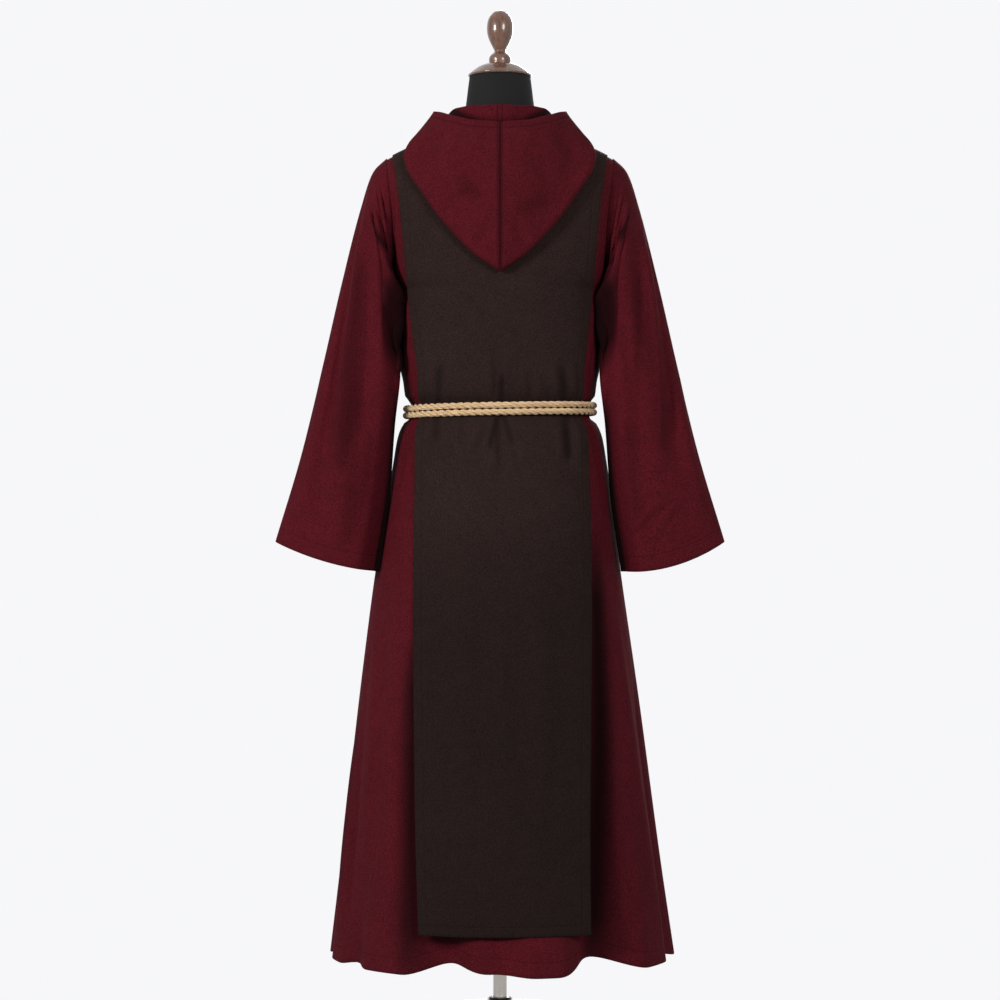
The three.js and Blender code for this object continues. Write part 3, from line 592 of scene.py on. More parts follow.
def cloth_piece(name, outer, inner, material, to_side, to_hem, shade, flip, closed=False):
    """A cloth wall between two grids, with rounded rims.

    Each point has its distances from the stitched edges, and the strength of the painted shade of its fold.
    """
    rows, columns = outer.shape[:2]
    if closed:
        outer, inner = outer.copy(), inner.copy()
        outer[:, -1], inner[:, -1] = outer[:, 0], inner[:, 0]
    middle = (outer + inner) / 2
    round_out = 0.4 * CLOTH

    def rim(line, before):
        return line + round_out * unit(line - before)

    bottom, top = rim(middle[0], middle[1]), rim(middle[-1], middle[-2])
    across, down = lengths_along(middle, 1), lengths_along(middle, 0)
    loop = np.concatenate([outer, top[None], inner[::-1], bottom[None], outer[:1]])
    order = [*range(rows), rows - 1, *range(rows - 1, -1, -1), 0, 0]
    vertices = loop.reshape(-1, 3)
    quads = grid_quads(len(loop), columns, flip=flip)
    layers = {
        "cloth": np.stack([across, down], -1) * 0.001,
        "edges": np.stack(np.broadcast_arrays(to_side, to_hem), -1) * 0.001,
        "folds": np.stack([shade, 0 * shade], -1),
    }
    uvs = {layer: values[order].reshape(-1, 2) for layer, values in layers.items()}
    if not closed:
        sides = []
        for column, turn_over in ((0, not flip), (columns - 1, flip)):
            lip = rim(middle[:, column], middle[:, 1 if column == 0 else -2])
            strip = np.stack([outer[:, column], lip, inner[:, column]], 1)
            sides.append(grid_quads(rows, 3, len(vertices), turn_over))
            vertices = np.concatenate([vertices, strip.reshape(-1, 3)])
            for layer, source in layers.items():
                uvs[layer] = np.concatenate([uvs[layer], np.repeat(source[:, column], 3, 0)])
        quads = np.concatenate([quads, *sides])
    obj = make_mesh(name, vertices, quads, material, uvs)


# ---- Materials ----
class Look:
    """A principled material with the few node kinds that the looks need."""

    def __init__(self, name, settings):
        self.material = bpy.data.materials.new(name)
        self.material.use_nodes = True
        self.tree = self.material.node_tree
        self.shader = self.tree.nodes["Principled BSDF"]
        for socket, value in settings.items():
            self.shader.inputs[socket].default_value = value

    def node(self, kind, links=None, **settings):
        node = self.tree.nodes.new(kind)
        for key, value in settings.items():
            setattr(node, key, value)
        for socket, source in (links or {}).items():
            if isinstance(source, bpy.types.NodeSocket):
                self.tree.links.new(source, node.inputs[socket])
            else:
                node.inputs[socket].default_value = source
        return node

    def math(self, operation, *sources):
        return self.node("ShaderNodeMath", dict(enumerate(sources)), operation=operation).outputs[0]

    def total(self, value, *others):
        for other in others:
            value = self.math("ADD", value, other)
        return value

    def noise(self, scale, detail=3.0, roughness=0.55, stretch=None):
        place = self.node("ShaderNodeTexCoord").outputs["Object"]
        if stretch:
            place = self.node("ShaderNodeMapping", {"Vector": place, "Scale": stretch}).outputs[0]
        links = {"Vector": place, "Scale": scale, "Detail": detail, "Roughness": roughness}
        return self.node("ShaderNodeTexNoise", links).outputs["Fac"]

    def spread(self, value, low, high, to_low=0.0, to_high=1.0):
        links = {"Value": value, "From Min": low, "From Max": high, "To Min": to_low, "To Max": to_high}
        return self.node("ShaderNodeMapRange", links).outputs["Result"]

    def mix(self, factor, first, second):
        return self.node("ShaderNodeMix", {0: factor, 6: first, 7: second}, data_type="RGBA").outputs[2]

    def uv(self, layer):
        return self.node("ShaderNodeUVMap", uv_map=layer).outputs[0]

    def uv_parts(self, layer):
        return self.node("ShaderNodeSeparateXYZ", {0: self.uv(layer)}).outputs[:2]

    def colour(self, socket):
        self.tree.links.new(socket, self.shader.inputs["Base Color"])

    def bump(self, height, distance, strength):
        links = {"Height": height, "Distance": distance, "Strength": strength}
        last = self.shader.inputs["Normal"].links
        if last:
            links["Normal"] = last[0].from_socket
        node = self.node("ShaderNodeBump", links)
        self.tree.links.new(node.outputs[0], self.shader.inputs["Normal"])


def linear(red, green, blue):
    """An sRGB colour of 0 to 255 as the shader's linear colour."""
    parts = [v / 255 for v in (red, green, blue)]
    return (*[p / 12.92 if p <= 0.04045 else ((p + 0.055) / 1.055) ** 2.4 for p in parts], 1.0)


def darker(colour, share):
    return (*[share * part for part in colour[:3]], 1.0)


def wool(name, dark, light, nap, stitch_lines, stitch_tone=0.2):
    """Felted wool with a faint twill, a nap, topstitched hems, and a darkening that is mostly painted shade
    in its deep folds.
    """
    sheen = {"Sheen Weight": 0.03, "Sheen Roughness": 0.45, "Sheen Tint": nap}
    look = Look(name, {"Roughness": 0.92, "Specular IOR Level": 0.06, **sheen})
    cloud = look.noise(5, 2)
    blotch = look.noise(38, 3)
    mottle = look.noise(420, 2, 0.5)
    fuzz = look.noise(520, 3, 0.7)
    fibre = look.noise(1500, 2, 0.7)
    ribs = {"Vector": look.uv("cloth"), "Scale": 260, "Distortion": 1.2, "Detail": 1.5}
    twill = look.node("ShaderNodeTexWave", ribs, bands_direction="DIAGONAL").outputs["Fac"]
    tone = look.total(
        look.spread(cloud, 0.3, 0.7, -0.05, 0.05),
        look.spread(blotch, 0.3, 0.7, -0.06, 0.06),
        look.spread(mottle, 0.34, 0.66, -0.24, 0.24),
        look.spread(fuzz, 0.32, 0.68, 0.3, 0.7),
    )
    colour = look.mix(look.spread(tone, 0.1, 0.9), dark, light)
    colour = look.mix(look.spread(fibre, 0.6, 0.75, 0, 0.35), colour, nap)
    side, hem = look.uv_parts("edges")
    lines = []
    for which, distance in stitch_lines:
        off = look.math("SUBTRACT", side if which == "side" else hem, distance)
        lines.append(look.spread(look.math("ABSOLUTE", off), 0.0004, 0.0022, 1, 0))
    groove = lines[0] if len(lines) == 1 else look.math("MAXIMUM", *lines)
    look.bump(fuzz, 0.0011, 0.5)
    look.bump(twill, 0.0003, 0.35)
    look.bump(mottle, 0.0012, 0.2)
    look.bump(look.math("SUBTRACT", 1.0, groove), 0.0012, 0.5)
    colour = look.mix(look.math("MULTIPLY", groove, stitch_tone), colour, dark)
    # Painted shade: the 'folds' layer takes the cloth's colour towards near black, mostly where deep folds
    # and hollows hold less light.
    fold, _ = look.uv_parts("folds")
    look.colour(look.mix(fold, colour, darker(dark, 0.08)))
    return look.material


def rope_look():
    look = Look("rope_cotton", {"Roughness": 0.75, "Sheen Weight": 0.25, "Sheen Roughness": 0.5})
    around, along = look.uv_parts("cloth")
    turns = look.math("ADD", look.math("MULTIPLY", around, 5.0), look.math("MULTIPLY", along, 95.0))
    yarn = look.math("SINE", look.math("MULTIPLY", turns, 2 * math.pi))
    fuzz = look.noise(1300, 3, 0.7)
    cloud = look.noise(60, 3)
    shades = look.spread(yarn, -1, 1, 0, 0.45), look.spread(cloud, 0.3, 0.7, 0, 0.3)
    tone = look.total(*shades, look.spread(fuzz, 0.3, 0.7, 0, 0.3))
    look.colour(look.mix(tone, linear(188, 140, 92), linear(250, 220, 170)))
    look.bump(yarn, 0.0005, 0.7)
    look.bump(fuzz, 0.0005, 0.5)
    return look.material


def jersey_look():
    look = Look("form_jersey", {"Roughness": 0.8, "Sheen Weight": 0.03, "Specular IOR Level": 0.2})
    weave = look.noise(1400, 2)
    cloud = look.noise(12, 2)
    look.colour(look.mix(look.spread(cloud, 0.3, 0.7), linear(11, 11, 12), linear(20, 20, 21)))
    look.bump(weave, 0.0004, 0.4)
    return look.material


def wood_look():
    look = Look("turned_wood", {"Roughness": 0.26, "Coat Weight": 0.5, "Coat Roughness": 0.1})
    grain = look.noise(26, 5, 0.6, stretch=(9, 9, 0.9))
    pore = look.noise(220, 2, 0.6, stretch=(3, 3, 0.4))
    tone = look.math("ADD", look.spread(grain, 0.3, 0.7, 0, 0.75), look.spread(pore, 0.4, 0.7, 0, 0.25))
    look.colour(look.mix(tone, linear(66, 36, 22), linear(134, 90, 62)))
    look.bump(grain, 0.0006, 0.15)
    return look.material


def metal_look(name, base, roughness):
    look = Look(name, {"Metallic": 1.0})
    haze = look.noise(9, 3)
    rub = look.noise(300, 3, stretch=(1, 1, 0.06))
    look.colour(look.mix(look.spread(haze, 0.3, 0.7), base, darker(base, 0.86)))
    gloss = look.spread(rub, 0.3, 0.7, roughness * 0.8, roughness * 1.4)
    look.tree.links.new(gloss, look.shader.inputs["Roughness"])
    return look.material


# dark, light, nap
RED = (linear(54, 7, 14), linear(98, 21, 33), linear(132, 50, 62))
BROWN = (linear(29, 19, 17), linear(52, 37, 34), linear(82, 66, 60))
tunic_wool = wool("tunic_wool", *RED, [("hem", 0.025)])
hood_wool = wool("hood_wool", *RED, [("side", 0.004), ("hem", 0.013)], 0.6)
scapular_wool = wool("scapular_wool", *BROWN, [("side", 0.016), ("hem", 0.016)])
rope_cotton = rope_look()
jersey = jersey_look()
wood = wood_look()
chrome = metal_look("chrome", (0.43, 0.40, 0.36, 1.0), 0.18)
plate_steel = metal_look("plate_steel", (0.74, 0.73, 0.71, 1.0), 0.3)


# ---- Tunic and scapular ----
def fine_columns(flank, middle):
    left = np.linspace(0, FLANK_COLUMNS, flank + 1)
    centre = np.linspace(FLANK_COLUMNS, FLANK_COLUMNS + MIDDLE_COLUMNS, middle + 1)
    return np.concatenate([left[:-1], centre, COLUMNS - left[::-1][1:]])


def fine_rises(bottom, top, lower, upper):
    """Rows from a hem to the shoulder seam or neck, closer together towards the top."""
    low = bottom + (SHOULDER - bottom) * np.linspace(0, 1, lower + 1)[:, None]
    shares = 1 - (1 - np.linspace(0, 1, upper + 1)[1:, None]) ** 1.5
    return np.concatenate([low, SHOULDER + (top - SHOULDER) * shares])


def parted(side, grid):
    """The two panels part at the seam in the shoulder plane."""
    grid[..., 1] = side * (np.maximum(0, side * grid[..., 1]) + SEAM / 2)
    return grid


def inner_face(grid, flip, seam_axis):
    """The wall's inner side, square to the seam where two pieces meet."""
    ways = grid_normals(grid, flip)
    ways[..., seam_axis] *= np.minimum(1, np.abs(grid[..., seam_axis]) / SQUARE_WITHIN)
    return grid - CLOTH * unit(ways)


def under_scapular(column):
    """1 where the scapular covers the tunic, fading to 0 at its edges."""
    inside = np.minimum(column - FLANK_COLUMNS, FLANK_COLUMNS + MIDDLE_COLUMNS - column)
    return np.clip((inside - 0.25) / 0.9, 0, 1)


def tunic_panel(side, name):
    flip = side == FRONT
    columns = fine_columns(46, 44)[None, :]
    hem_turn = column_turn(columns, HEM_SIDE)
    bottom = HEM_SIDE + HEM_IN_TROUGH * trough_depth(angle_of(side, hem_turn), HEM_SIDE)
    rises = fine_rises(bottom, column_top(side, columns, TUNIC_NECK), 160, 36)
    turn = column_turn(columns, rises)
    grid = form(side, turn, rises)
    flat = grid * (1, 1, 0)
    grid = grid - unit(flat) * trough_depth(angle_of(side, turn), rises)[..., None]
    covered = under_scapular(columns) * np.clip((rises - SCAPULAR_BOTTOM - 4) / SINK_FADE, 0, 1)
    covered = covered * np.clip((RIDGE - rises) / SINK_FADE, 0, 1)
    spot = np.degrees(turn) * DEGREE, rises
    moves = creased(TUNIC_CREASES[side], *spot)
    fade = np.clip((90 - np.abs(np.degrees(turn))) / 7, 0, 1)
    moves = moves * fade * (1 - covered) - TUNIC_SINK * covered
    grid = parted(side, moved(grid, moves, flip))
    inner, down = inner_face(grid, flip, 1), lengths_along(grid, 0)
    shade = shaded(TUNIC_SHADES[side], *spot)
    cloth_piece(name, grid, inner, tunic_wool, UNSTITCHED, down, shade, flip)


def belt_puff(z):
    """The cloth swells above and below the belt, and lies flat under it."""
    puff = 0
    for away, reach, share in ((z - WAIST, 26, 0.6), (WAIST - z, 30, 0.8)):
        off = np.clip(away - BELT_HALF_HEIGHT, 0, None) / reach
        puff = puff + BELT_PUFF * off * np.exp(1 - off) * share
    return puff


def scapular_panel(side, name):
    flip = side == FRONT
    columns = np.linspace(FLANK_COLUMNS, FLANK_COLUMNS + MIDDLE_COLUMNS, 97)[None, :]
    rises = fine_rises(SCAPULAR_BOTTOM + 0 * columns, column_top(side, columns, SCAPULAR_NECK), 190, 34)

    def surface(column, rise):
        return form(side, column_turn(column, rise), rise)

    grid = lifted(surface, columns + 0 * rises, rises, SCAPULAR_LIFT, 0.1, 2)
    puff = belt_puff(rises) + creased(SCAPULAR_CREASES[side], grid[..., 0], grid[..., 2])
    puff = np.logaddexp(0, puff * SOFTNESS) / SOFTNESS - math.log(2) / SOFTNESS
    puff = np.maximum(puff, 0) * np.clip((RIDGE - rises) / 60, 0, 1)
    grid = parted(side, moved(grid, puff, flip))
    across, down = lengths_along(grid, 1), lengths_along(grid, 0)
    to_side = np.minimum(across, across[:, -1:] - across)
    inner = inner_face(grid, flip, 1)
    shade = shaded(SCAPULAR_SHADES[side], grid[..., 0], grid[..., 2])
    cloth_piece(name, grid, inner, scapular_wool, to_side, down, shade, flip)


# ---- Sleeves ----
def armhole(side, height):
    quarter = np.full(height.shape, math.pi / 2)
    rise = bisect(height.shape, UNDERARM, RIDGE, lambda r: form(side, quarter, r)[..., 2] > height)
    return form(side, quarter, rise)


def sleeve_grid(hand, turn, place):
    reach = np.cos(turn)

    def row(column):
        return read(SLEEVE, column, place)

    def across(top, under):
        return (top * (1 + reach) + under * (1 - reach)) / 2

    degrees = np.degrees(turn)
    sink = np.zeros(np.broadcast(turn, place).shape)
    for centre, width, depth, start, end in zip(*SLEEVE_TROUGHS.values()):
        along = (place - start) / (end - start)
        sink += depth * bump((degrees - centre) / width) * bump(2 * along - 1)
    depth = (row("depth") - sink) * np.sin(turn)
    x = across(row("topX"), row("underX"))
    y = -row("behind") - row("lean") * (1 - reach) / 2 - depth
    z = across(row("topZ"), row("underZ"))
    z = z - CUFF_SAG[hand] * np.sin(turn) ** 2 * np.maximum(0, (place - 0.7) / 0.3) ** 2
    fade = np.maximum(0, 1 - place / 0.3) ** 2
    start = {name: values[0] for name, values in SLEEVE.items()}
    height = across(start["topZ"], start["underZ"])
    edge = np.where((np.sin(turn) > 0)[..., None], armhole(BACK, height), armhole(FRONT, height))
    x = x + (edge[..., 0] + SEAM - across(start["topX"], start["underX"])) * fade
    y = y + (edge[..., 1] + start["depth"] * np.sin(turn)) * fade
    grid = np.stack(np.broadcast_arrays(x, y, z), -1)
    grid[..., 0] *= hand
    return grid


def sleeve(hand, name):
    turn = np.linspace(0, 2 * math.pi, 113)[None, :]
    place = np.linspace(0, 1, 131)[:, None] ** 1.12
    grid = sleeve_grid(hand, turn, place)
    flip = hand > 0
    spot = np.degrees(turn), place * 1000
    moves = creased(SLEEVE_CREASES[hand], *spot) * np.clip(place / 0.05, 0, 1)
    grid = moved(grid, moves, flip, closed=True)
    ways = grid_normals(grid, flip, closed=True)
    ways[0, :, 0] = 0
    inner = grid - CLOTH * unit(ways)
    down = lengths_along(grid, 0)
    shade = shaded(SLEEVE_SHADES[hand], *spot)
    to_hem = down[-1:] - down
    cloth_piece(name, grid, inner, tunic_wool, UNSTITCHED, to_hem, shade, flip, closed=True)


# ---- Hood ----
def place_over(side, heading, out):
    """The place on the form over a point of the plan, out from the pole in a heading from the throat."""
    x, y = out * np.sin(heading), out * np.abs(np.cos(heading))
    rise = bisect(x.shape, UNDERARM, RIDGE, lambda r: np.abs(form(side, turn_at_x(x, r), r)[..., 1]) < y)
    return rise, turn_at_x(x, rise)


def draped(side, heading, out, lift):
    """A point that lies over the form there."""
    rise, turn = place_over(side, heading, out)
    turn = np.minimum(turn, math.radians(88))
    return lifted(partial(form, side), turn, rise, lift, math.radians(1), 2)


def out_at_height(side, heading, height):
    """How far out the form falls to a height."""

    def reached(out):
        rise, turn = place_over(side, heading, out)
        return form(side, turn, rise)[..., 2] < height

    return bisect(heading.shape, *HOOD_REACH, reached)


def hood_profiles(side, heading):
    """The points round the hood's bag at each heading, from the rim to the neck seam."""
    degrees = np.degrees(heading)

    def row(column):
        return read(HOOD, column, degrees)

    away = np.stack([np.sin(heading), np.cos(heading), np.zeros(heading.shape)], -1)
    up = np.array([0.0, 0.0, 1.0])

    def spot(out, z):
        return away * np.asarray(out)[..., None] + up * np.asarray(z)[..., None]

    def on_body(height, lift):
        return draped(side, heading, out_at_height(side, heading, height), np.asarray(lift)[..., None])

    rim = spot(row("rimOut"), row("rimZ"))
    neck_depth = TUNIC_NECK["front" if side == FRONT else "back"]
    neck_out = 1 / np.hypot(away[..., 0] / TUNIC_NECK["half"], away[..., 1] / neck_depth)
    neck = draped(side, heading, neck_out, SEAM + 1.2)
    fold, lift = row("foldZ"), row("foldLift")
    fold_outer = on_body(fold + 6, HOOD_LIFT + lift)
    fold_tip = on_body(fold, HOOD_LIFT + lift * 0.5) - 3 * up
    fold_inner = on_body(fold + 6, HOOD_LIFT + 0 * lift)

    def climb(share):
        return on_body(fold + 6 + (neck[..., 2] - 12 - fold) * share, HOOD_LIFT + 0 * lift)

    def swell(share):
        p = rim + (fold_outer - rim) * share
        return p + away * (row("belly") * math.sin(math.pi * share**0.85))[..., None]

    roll = spot(row("rollOut"), row("rollZ"))
    points = [rim, swell(0.2), swell(0.4), swell(0.6), swell(0.8), fold_outer, fold_tip, fold_inner]
    points += [climb(0.3), climb(0.6), climb(0.88), roll + away * 5 - 9 * up, roll]
    points += [(neck + roll) / 2 - away * 1.5, neck]
    return np.stack(points, 1)


def smooth_line(points, count):
    """Catmull-Rom through points along axis 1."""
    ends = [2 * points[:, :1] - points[:, 1:2], points, 2 * points[:, -1:] - points[:, -2:-1]]
    p = np.concatenate(ends, 1)
    place = np.linspace(0, points.shape[1] - 1, count)
    i = np.minimum(place.astype(int), points.shape[1] - 2)
    t = (place - i)[None, :, None]
    a, b, c, d = (p[:, i + k] for k in range(4))
    return 0.5 * (2 * b + (c - a) * t + (2 * a - 5 * b + 4 * c - d) * t**2 + (3 * b - a - 3 * c + d) * t**3)


def hood(hand, name):
    front = np.radians(np.linspace(0, 88.5, 30))
    back = np.radians(np.linspace(90, 180, 64))
    profiles = np.concatenate([hood_profiles(FRONT, front), hood_profiles(BACK, back)])
    grid = smooth_line(profiles, HOOD_POINTS)
    grid[..., 0] = hand * (np.maximum(0, grid[..., 0]) + SEAM / 2)
    flip = hand > 0
    along = np.arange(HOOD_POINTS)
    outer_layer = np.clip((HOOD_FOLD - along) / 8, 0, 1) * np.clip(along / 5, 0, 1)
    x, y, z = np.moveaxis(grid, -1, 0)
    moves = creased(HOOD_CREASES[hand], x, z) * outer_layer
    grid = moved(grid, moves * np.clip(np.abs(x) / 14, 0, 1) * np.clip(-y / 30, 0, 1), flip)
    inner = inner_face(grid, flip, 0)
    rim, seam = lengths_along(grid, 1), lengths_along(grid, 0)
    # Painted shade: the hood's inner layers darken below the rim, and the outer layer takes its rows of
    # HOOD_SHADES.
    below_rim = grid[:, :1, 2] + 12 - grid[..., 2]
    inside = np.clip((along - HOOD_INNER) / 6, 0, 1) * np.clip(below_rim / 10, 0, 1)
    before_fold = np.clip((HOOD_FOLD + 4 - along) / 4, 0, 1)
    outside = before_fold * shaded(HOOD_SHADES[hand], grid[..., 0], grid[..., 2])
    shade = np.maximum(HOOD_INSIDE_SHADE * inside, outside)
    cloth_piece(name, grid, inner, hood_wool, seam[-1:] - seam, rim, shade, flip)


# ---- Ropes ----
def resampled(points, step):
    lengths = np.concatenate([[0], np.cumsum(np.linalg.norm(np.diff(points, axis=0), axis=1))])
    count = max(2, int(lengths[-1] / step) + 1)
    places = np.linspace(0, lengths[-1], count)
    return np.stack([np.interp(places, lengths, points[:, k]) for k in range(3)], 1), places


def path_frames(points):
    """Two directions across a path at each of its points, turned as little as can be."""
    tangents = unit(np.gradient(points, axis=0))
    side = unit(np.cross(tangents[0], [0.13, 0.4, 0.9]))
    sides = []
    for tangent in tangents:
        side = unit(side - tangent * (side @ tangent))
        sides.append(side)
    sides = np.array(sides)
    return sides, np.cross(tangents, sides)


def strand_parts(points, places, radius, sides, start):
    """The vertices, quads and UVs of a closed tube."""
    right, up = path_frames(points)
    around = np.linspace(0, 2 * math.pi, sides + 1)
    taper = np.ones(len(points))
    taper[0] = taper[-1] = 0.55
    rings = points[:, None] + radius * taper[:, None, None] * (
        right[:, None] * np.cos(around)[None, :, None] + up[:, None] * np.sin(around)[None, :, None]
    )
    ends = np.repeat(points[[0, -1]][:, None], sides + 1, 1)
    grid = np.concatenate([ends[:1], rings, ends[1:]])
    run = np.concatenate([places[:1], places, places[-1:]])[:, None] * 0.001
    uv = np.stack(np.broadcast_arrays(around[None] / (2 * math.pi), run), -1)
    return grid.reshape(-1, 3), grid_quads(len(grid), sides + 1, start), uv.reshape(-1, 2)


def rope(name, path, radius=ROPE_RADIUS, step=2.2, sides=10, phase=0.0):
    """Three strands laid round a path."""
    centre, places = resampled(path, step)
    right, up = path_frames(centre)
    strand = radius / STRANDS_ACROSS
    parts, count = [], 0
    for k in range(3):
        turn = 2 * math.pi * (places / ROPE_LAY + k / 3) + phase
        line = centre + (radius - strand) * (right * np.cos(turn)[:, None] + up * np.sin(turn)[:, None])
        part = strand_parts(line, places + 400 * k, strand * 1.03, sides, count)
        count += len(part[0])
        parts.append(part)
    vertices, quads, uvs = (np.concatenate([part[i] for part in parts]) for i in range(3))
    return make_mesh(name, vertices, quads, rope_cotton, {"cloth": uvs})


def belt_point(angle, level):
    side = np.where(np.cos(angle) > 0, BACK, FRONT)
    height = WAIST + level + ROPE_TILT * BELT_HALF * np.sin(angle)
    lift = SCAPULAR_LIFT + ROPE_CLEAR + ROPE_RADIUS
    found = {}
    for s in (BACK, FRONT):
        turn = angle if s == BACK else math.pi - angle
        turn = np.clip(np.arctan2(np.sin(turn), np.cos(turn)), -1.55, 1.55)
        found[s] = lifted(partial(form, s), turn, height, lift, 0.01, 2)
    point = np.where((side == BACK)[..., None], found[BACK], found[FRONT])
    point[..., 2] = height
    return point


def belt_turn(level, name, phase):
    opening = math.asin((KNOT[0] + SEAM) / BELT_FRONT)
    angles = np.linspace(-math.pi + opening, math.pi - opening, 400)
    rope(name, belt_point(angles, level), phase=phase)


knot_centre = belt_point(np.array([math.pi]), 0.0)[0] + np.array([0, KNOT_OUT, 0])


def tail_path(hand):
    top = knot_centre[2] - KNOT[2] - TAIL_GAP
    height = np.linspace(top, TAIL_END[hand], 120)
    x = hand * TAIL_SPREAD * (1 + TAIL_FLARE * (1 - height / WAIST))
    lift = SCAPULAR_LIFT + SEAM + ROPE_RADIUS + 0.4
    point = lifted(lambda at, r: form(FRONT, turn_at_x(at, r), r), x, height, lift, 1, 2)
    point[:, 1] = np.maximum(point[:, 1], knot_centre[1] - 3 - 0.12 * (top - height))
    return point


def coil(centre, knot, radius, turns, height):
    """Wraps of rope round an upright core, within a knot's half-sizes."""
    t = np.linspace(0, 1, int(turns * 40))
    turn = 2 * math.pi * turns * t
    x, y = (knot[0] - radius) * np.cos(turn), (knot[1] - radius) * np.sin(turn)
    return centre + np.stack([x, y, (t - 0.5) * height], 1)


def rope_belt():
    belt_turn(ROPE_PITCH / 2, "belt_upper_turn", 0.0)
    belt_turn(-ROPE_PITCH / 2, "belt_lower_turn", 1.1)
    wraps = coil(knot_centre, KNOT, ROPE_RADIUS, 3.1, 24)
    rope("belt_knot", wraps, sides=9, step=1.8)
    for hand, word in ((-1, "left"), (1, "right")):
        path = tail_path(hand)
        end = path[-1] + [0, 0, -END_KNOT[2] - SEAM]
        end[1] += END_KNOT[1] - ROPE_RADIUS
        wraps = coil(end, END_KNOT, END_ROPE_RADIUS, 2.6, 17)
        knot = rope(f"belt_end_knot_{word}", wraps, END_ROPE_RADIUS, 1.6, 9)
        tail = rope(f"belt_tail_{word}", path, phase=0.7 * hand)


# ---- Dress form and stand ----
CAP_BOTTOM = 1679
FINIAL_BOTTOM = CAP_BOTTOM + 22 + SEAM
PLATE_RADIUS, PLATE_HEIGHT, PLATE_BEVEL = 205, 8, 3
HUB_RADIUS, HUB_HEIGHT, HUB_ROUND = 23, 43, 7
POLE_RADIUS = 12
FORM_BOTTOM = 820
NECK = [(70, 1530), (68, 1570), (65, 1596), (60, 1631), (57, 1655), (54, 1678.7)]
CAP = [(55.5, 0), (56.5, 2.5), (54, 5), (48, 10), (38, 17), (26, 22)]
FINIAL = [(19, 0), (19.5, 9), (17, 15), (10, 22), (12.5, 29), (18.5, 41), (22.5, 54)]
FINIAL += [(23, 68), (20, 81), (12, 91), (4, 94.5)]
TORSO_INSET = 9
TORSO_NARROWED = 0.96
CHEST_FROM, CHEST_TO, TORSO_TOP = 1060, 1420, 1580
# height, half width, half depth
HIPS = [(820, 152, 110), (860, 163, 118), (920, 167, 121), (980, 165, 117), (1030, 159, 107)]
SHARP = 35  # degrees


def turned(line, segments=96):
    """The rings of a line of radii and heights turned about the pole, and their angles."""
    around = np.linspace(0, 2 * math.pi, segments + 1)
    radius, height = line[:, :1], line[:, 1:]
    return np.stack([radius * np.cos(around), radius * np.sin(around), height + 0 * around], -1), around


def lathe(name, profile, material, smooth_steps=8, segments=96):
    """A turned piece: a smooth curve through the profile's points, closed on the axis."""
    line = np.array(profile, float)
    if smooth_steps > 1:
        line = smooth_line(line[None], (len(line) - 1) * smooth_steps + 1)[0]
    on_axis = [0, 1]
    grid, around = turned(np.concatenate([line[:1] * on_axis, line, line[-1:] * on_axis]), segments)
    uv = np.stack(np.broadcast_arrays(around * 0.05, grid[..., 2] * 0.001), -1).reshape(-1, 2)
    quads = grid_quads(*grid.shape[:2])
    make_mesh(name, grid.reshape(-1, 3), quads, material, {"cloth": uv}, SHARP)


def torso():
    """The form's shoulders, chest and hips, with the neck's turned line above them."""
    shares = 1 - (1 - np.linspace(0, 1, 30)[1:]) ** 1.5
    chest = np.linspace(CHEST_FROM, CHEST_TO, 40)
    rises = np.concatenate([chest, CHEST_TO + (TORSO_TOP - CHEST_TO) * shares])[:, None]
    turn = np.linspace(-1.5, 1.5, 60)[None, :] + 0 * rises
    rise = rises + 0 * turn
    half = [lifted(partial(form, side), turn, rise, -TORSO_INSET, 0.01, 1.5) for side in (BACK, FRONT)]
    upper = np.concatenate([half[0], half[1][:, ::-1], half[0][:, :1]], 1)
    upper[..., 0] *= TORSO_NARROWED
    around = np.linspace(0, 2 * math.pi, upper.shape[1])
    hips = [(-wide * np.cos(around), -deep * np.sin(around), 0 * around + at) for at, wide, deep in HIPS]
    grid = np.concatenate([np.moveaxis(np.array(hips), 1, 2), upper])
    bottom = grid[0] * [0, 0, 1]
    top = grid[-1] * [0, 0, 1] + [0, 0, 4]
    grid = np.concatenate([bottom[None], grid, top[None]])
    neck = smooth_line(np.array(NECK, float)[None], 61)[0]
    collar, _ = turned(np.concatenate([neck, neck[-1:] * [0, 1]]))
    body = grid.reshape(-1, 3)
    quads = np.concatenate([grid_quads(*grid.shape[:2]), grid_quads(*collar.shape[:2], len(body))])
    make_mesh("form_torso", np.concatenate([body, collar.reshape(-1, 3)]), quads, jersey, {})


def rounded(radius, top, bevel, steps):
    """The rounded upper edge of a turned piece."""
    turns = np.linspace(0, math.pi / 2, steps)
    return [(radius - bevel * (1 - math.cos(a)), top - bevel * (1 - math.sin(a))) for a in turns]


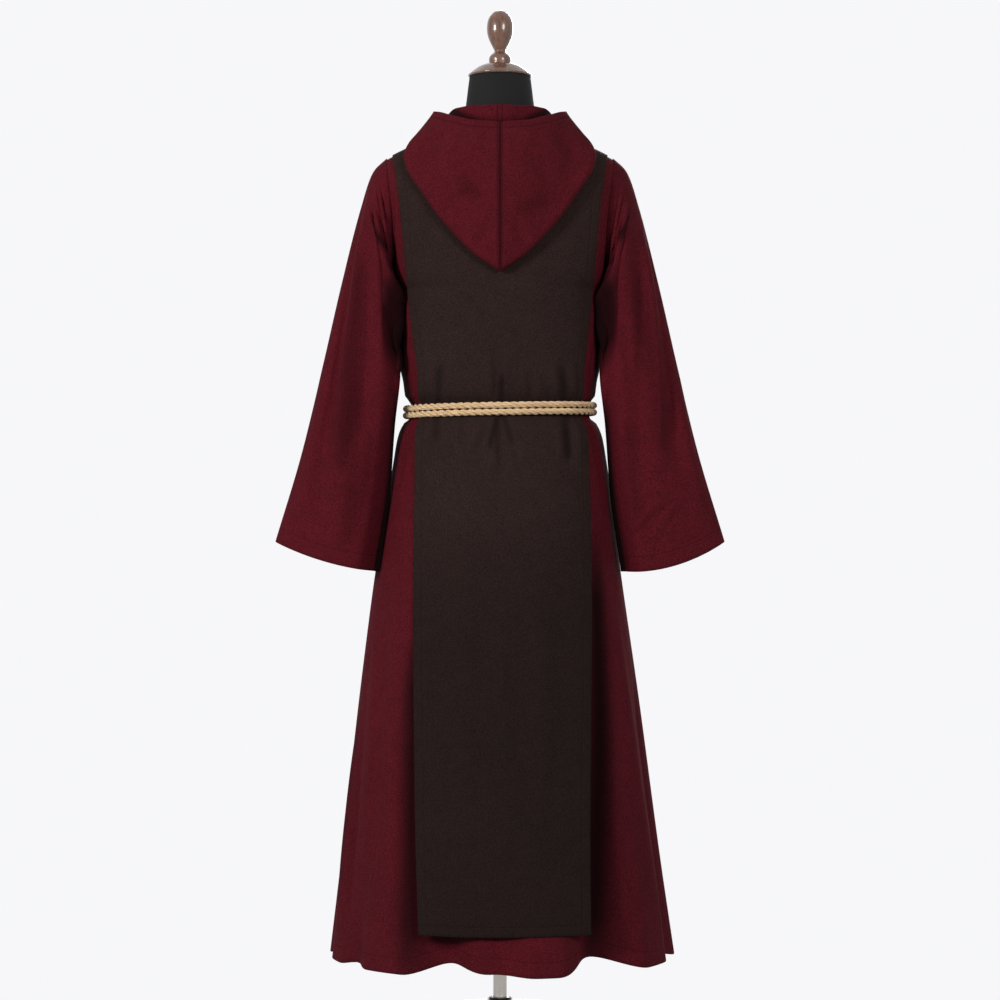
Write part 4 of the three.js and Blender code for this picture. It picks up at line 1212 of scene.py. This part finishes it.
def stand():
    lathe("neck_cap", [(r, CAP_BOTTOM + z) for r, z in CAP], wood)
    lathe("finial", [(r, FINIAL_BOTTOM + z) for r, z in FINIAL], wood)
    foot = PLATE_HEIGHT + SEAM
    pole = [(POLE_RADIUS - 0.6, foot), (POLE_RADIUS, foot + 0.6), (POLE_RADIUS, FORM_BOTTOM - SEAM)]
    lathe("pole", pole, chrome, 1)
    rim = rounded(PLATE_RADIUS, PLATE_HEIGHT, PLATE_BEVEL, 7)
    plate = [(PLATE_RADIUS - 0.8, 0), (PLATE_RADIUS, 0.8), *rim]
    lathe("base_plate", plate, plate_steel, 1, 160)
    top = foot + HUB_HEIGHT
    inside = POLE_RADIUS + SEAM
    hub = [(inside, foot), (HUB_RADIUS, foot), *rounded(HUB_RADIUS, top, HUB_ROUND, 9), (inside, top)]
    lathe("base_hub", hub, plate_steel, 1)


# ---- Everything together ----
tunic_panel(BACK, "tunic_back")
tunic_panel(FRONT, "tunic_front")
scapular_panel(BACK, "scapular_back")
scapular_panel(FRONT, "scapular_front")
sleeve(-1, "sleeve_left")
sleeve(1, "sleeve_right")
hood(-1, "hood_left")
hood(1, "hood_right")
rope_belt()
torso()
stand()


def studio():
    """A pale floor and backdrop, two soft lamps on the camera's side and one on the other."""
    pale = bpy.data.materials.new("backdrop")
    pale.use_nodes = True
    tree = pale.node_tree
    tree.nodes.clear()
    glow = tree.nodes.new("ShaderNodeEmission")
    glow.inputs["Color"].default_value = BACKDROP
    tree.links.new(glow.outputs[0], tree.nodes.new("ShaderNodeOutputMaterial").inputs["Surface"])
    bpy.ops.mesh.primitive_plane_add(size=FLOOR_WIDTH, location=(0, 0, -0.0005))
    floor = bpy.context.object
    bpy.ops.mesh.primitive_uv_sphere_add(radius=DOME_RADIUS, segments=48, ring_count=24)
    for stage in (floor, bpy.context.object):
        stage.visible_diffuse = False
        stage.data.materials.append(pale)
    world = bpy.data.worlds.new("studio")
    world.use_nodes = True
    tint, strength = world.node_tree.nodes["Background"].inputs[:2]
    tint.default_value = (1, 1, 1, 1)
    strength.default_value = WORLD_LIGHT
    scene.world = world
    for name, place, aim, size, power in LAMPS:
        lamp = bpy.data.lights.new(name, "AREA")
        lamp.size = size
        lamp.energy = power
        light = bpy.data.objects.new(name, lamp)
        light.location = place
        direction = np.array(aim) - np.array(place)
        pitch = math.atan2(math.hypot(direction[0], direction[1]), -direction[2])
        light.rotation_euler = (pitch, 0, math.atan2(direction[1], direction[0]) - math.pi / 2)
        scene.collection.objects.link(light)


studio()
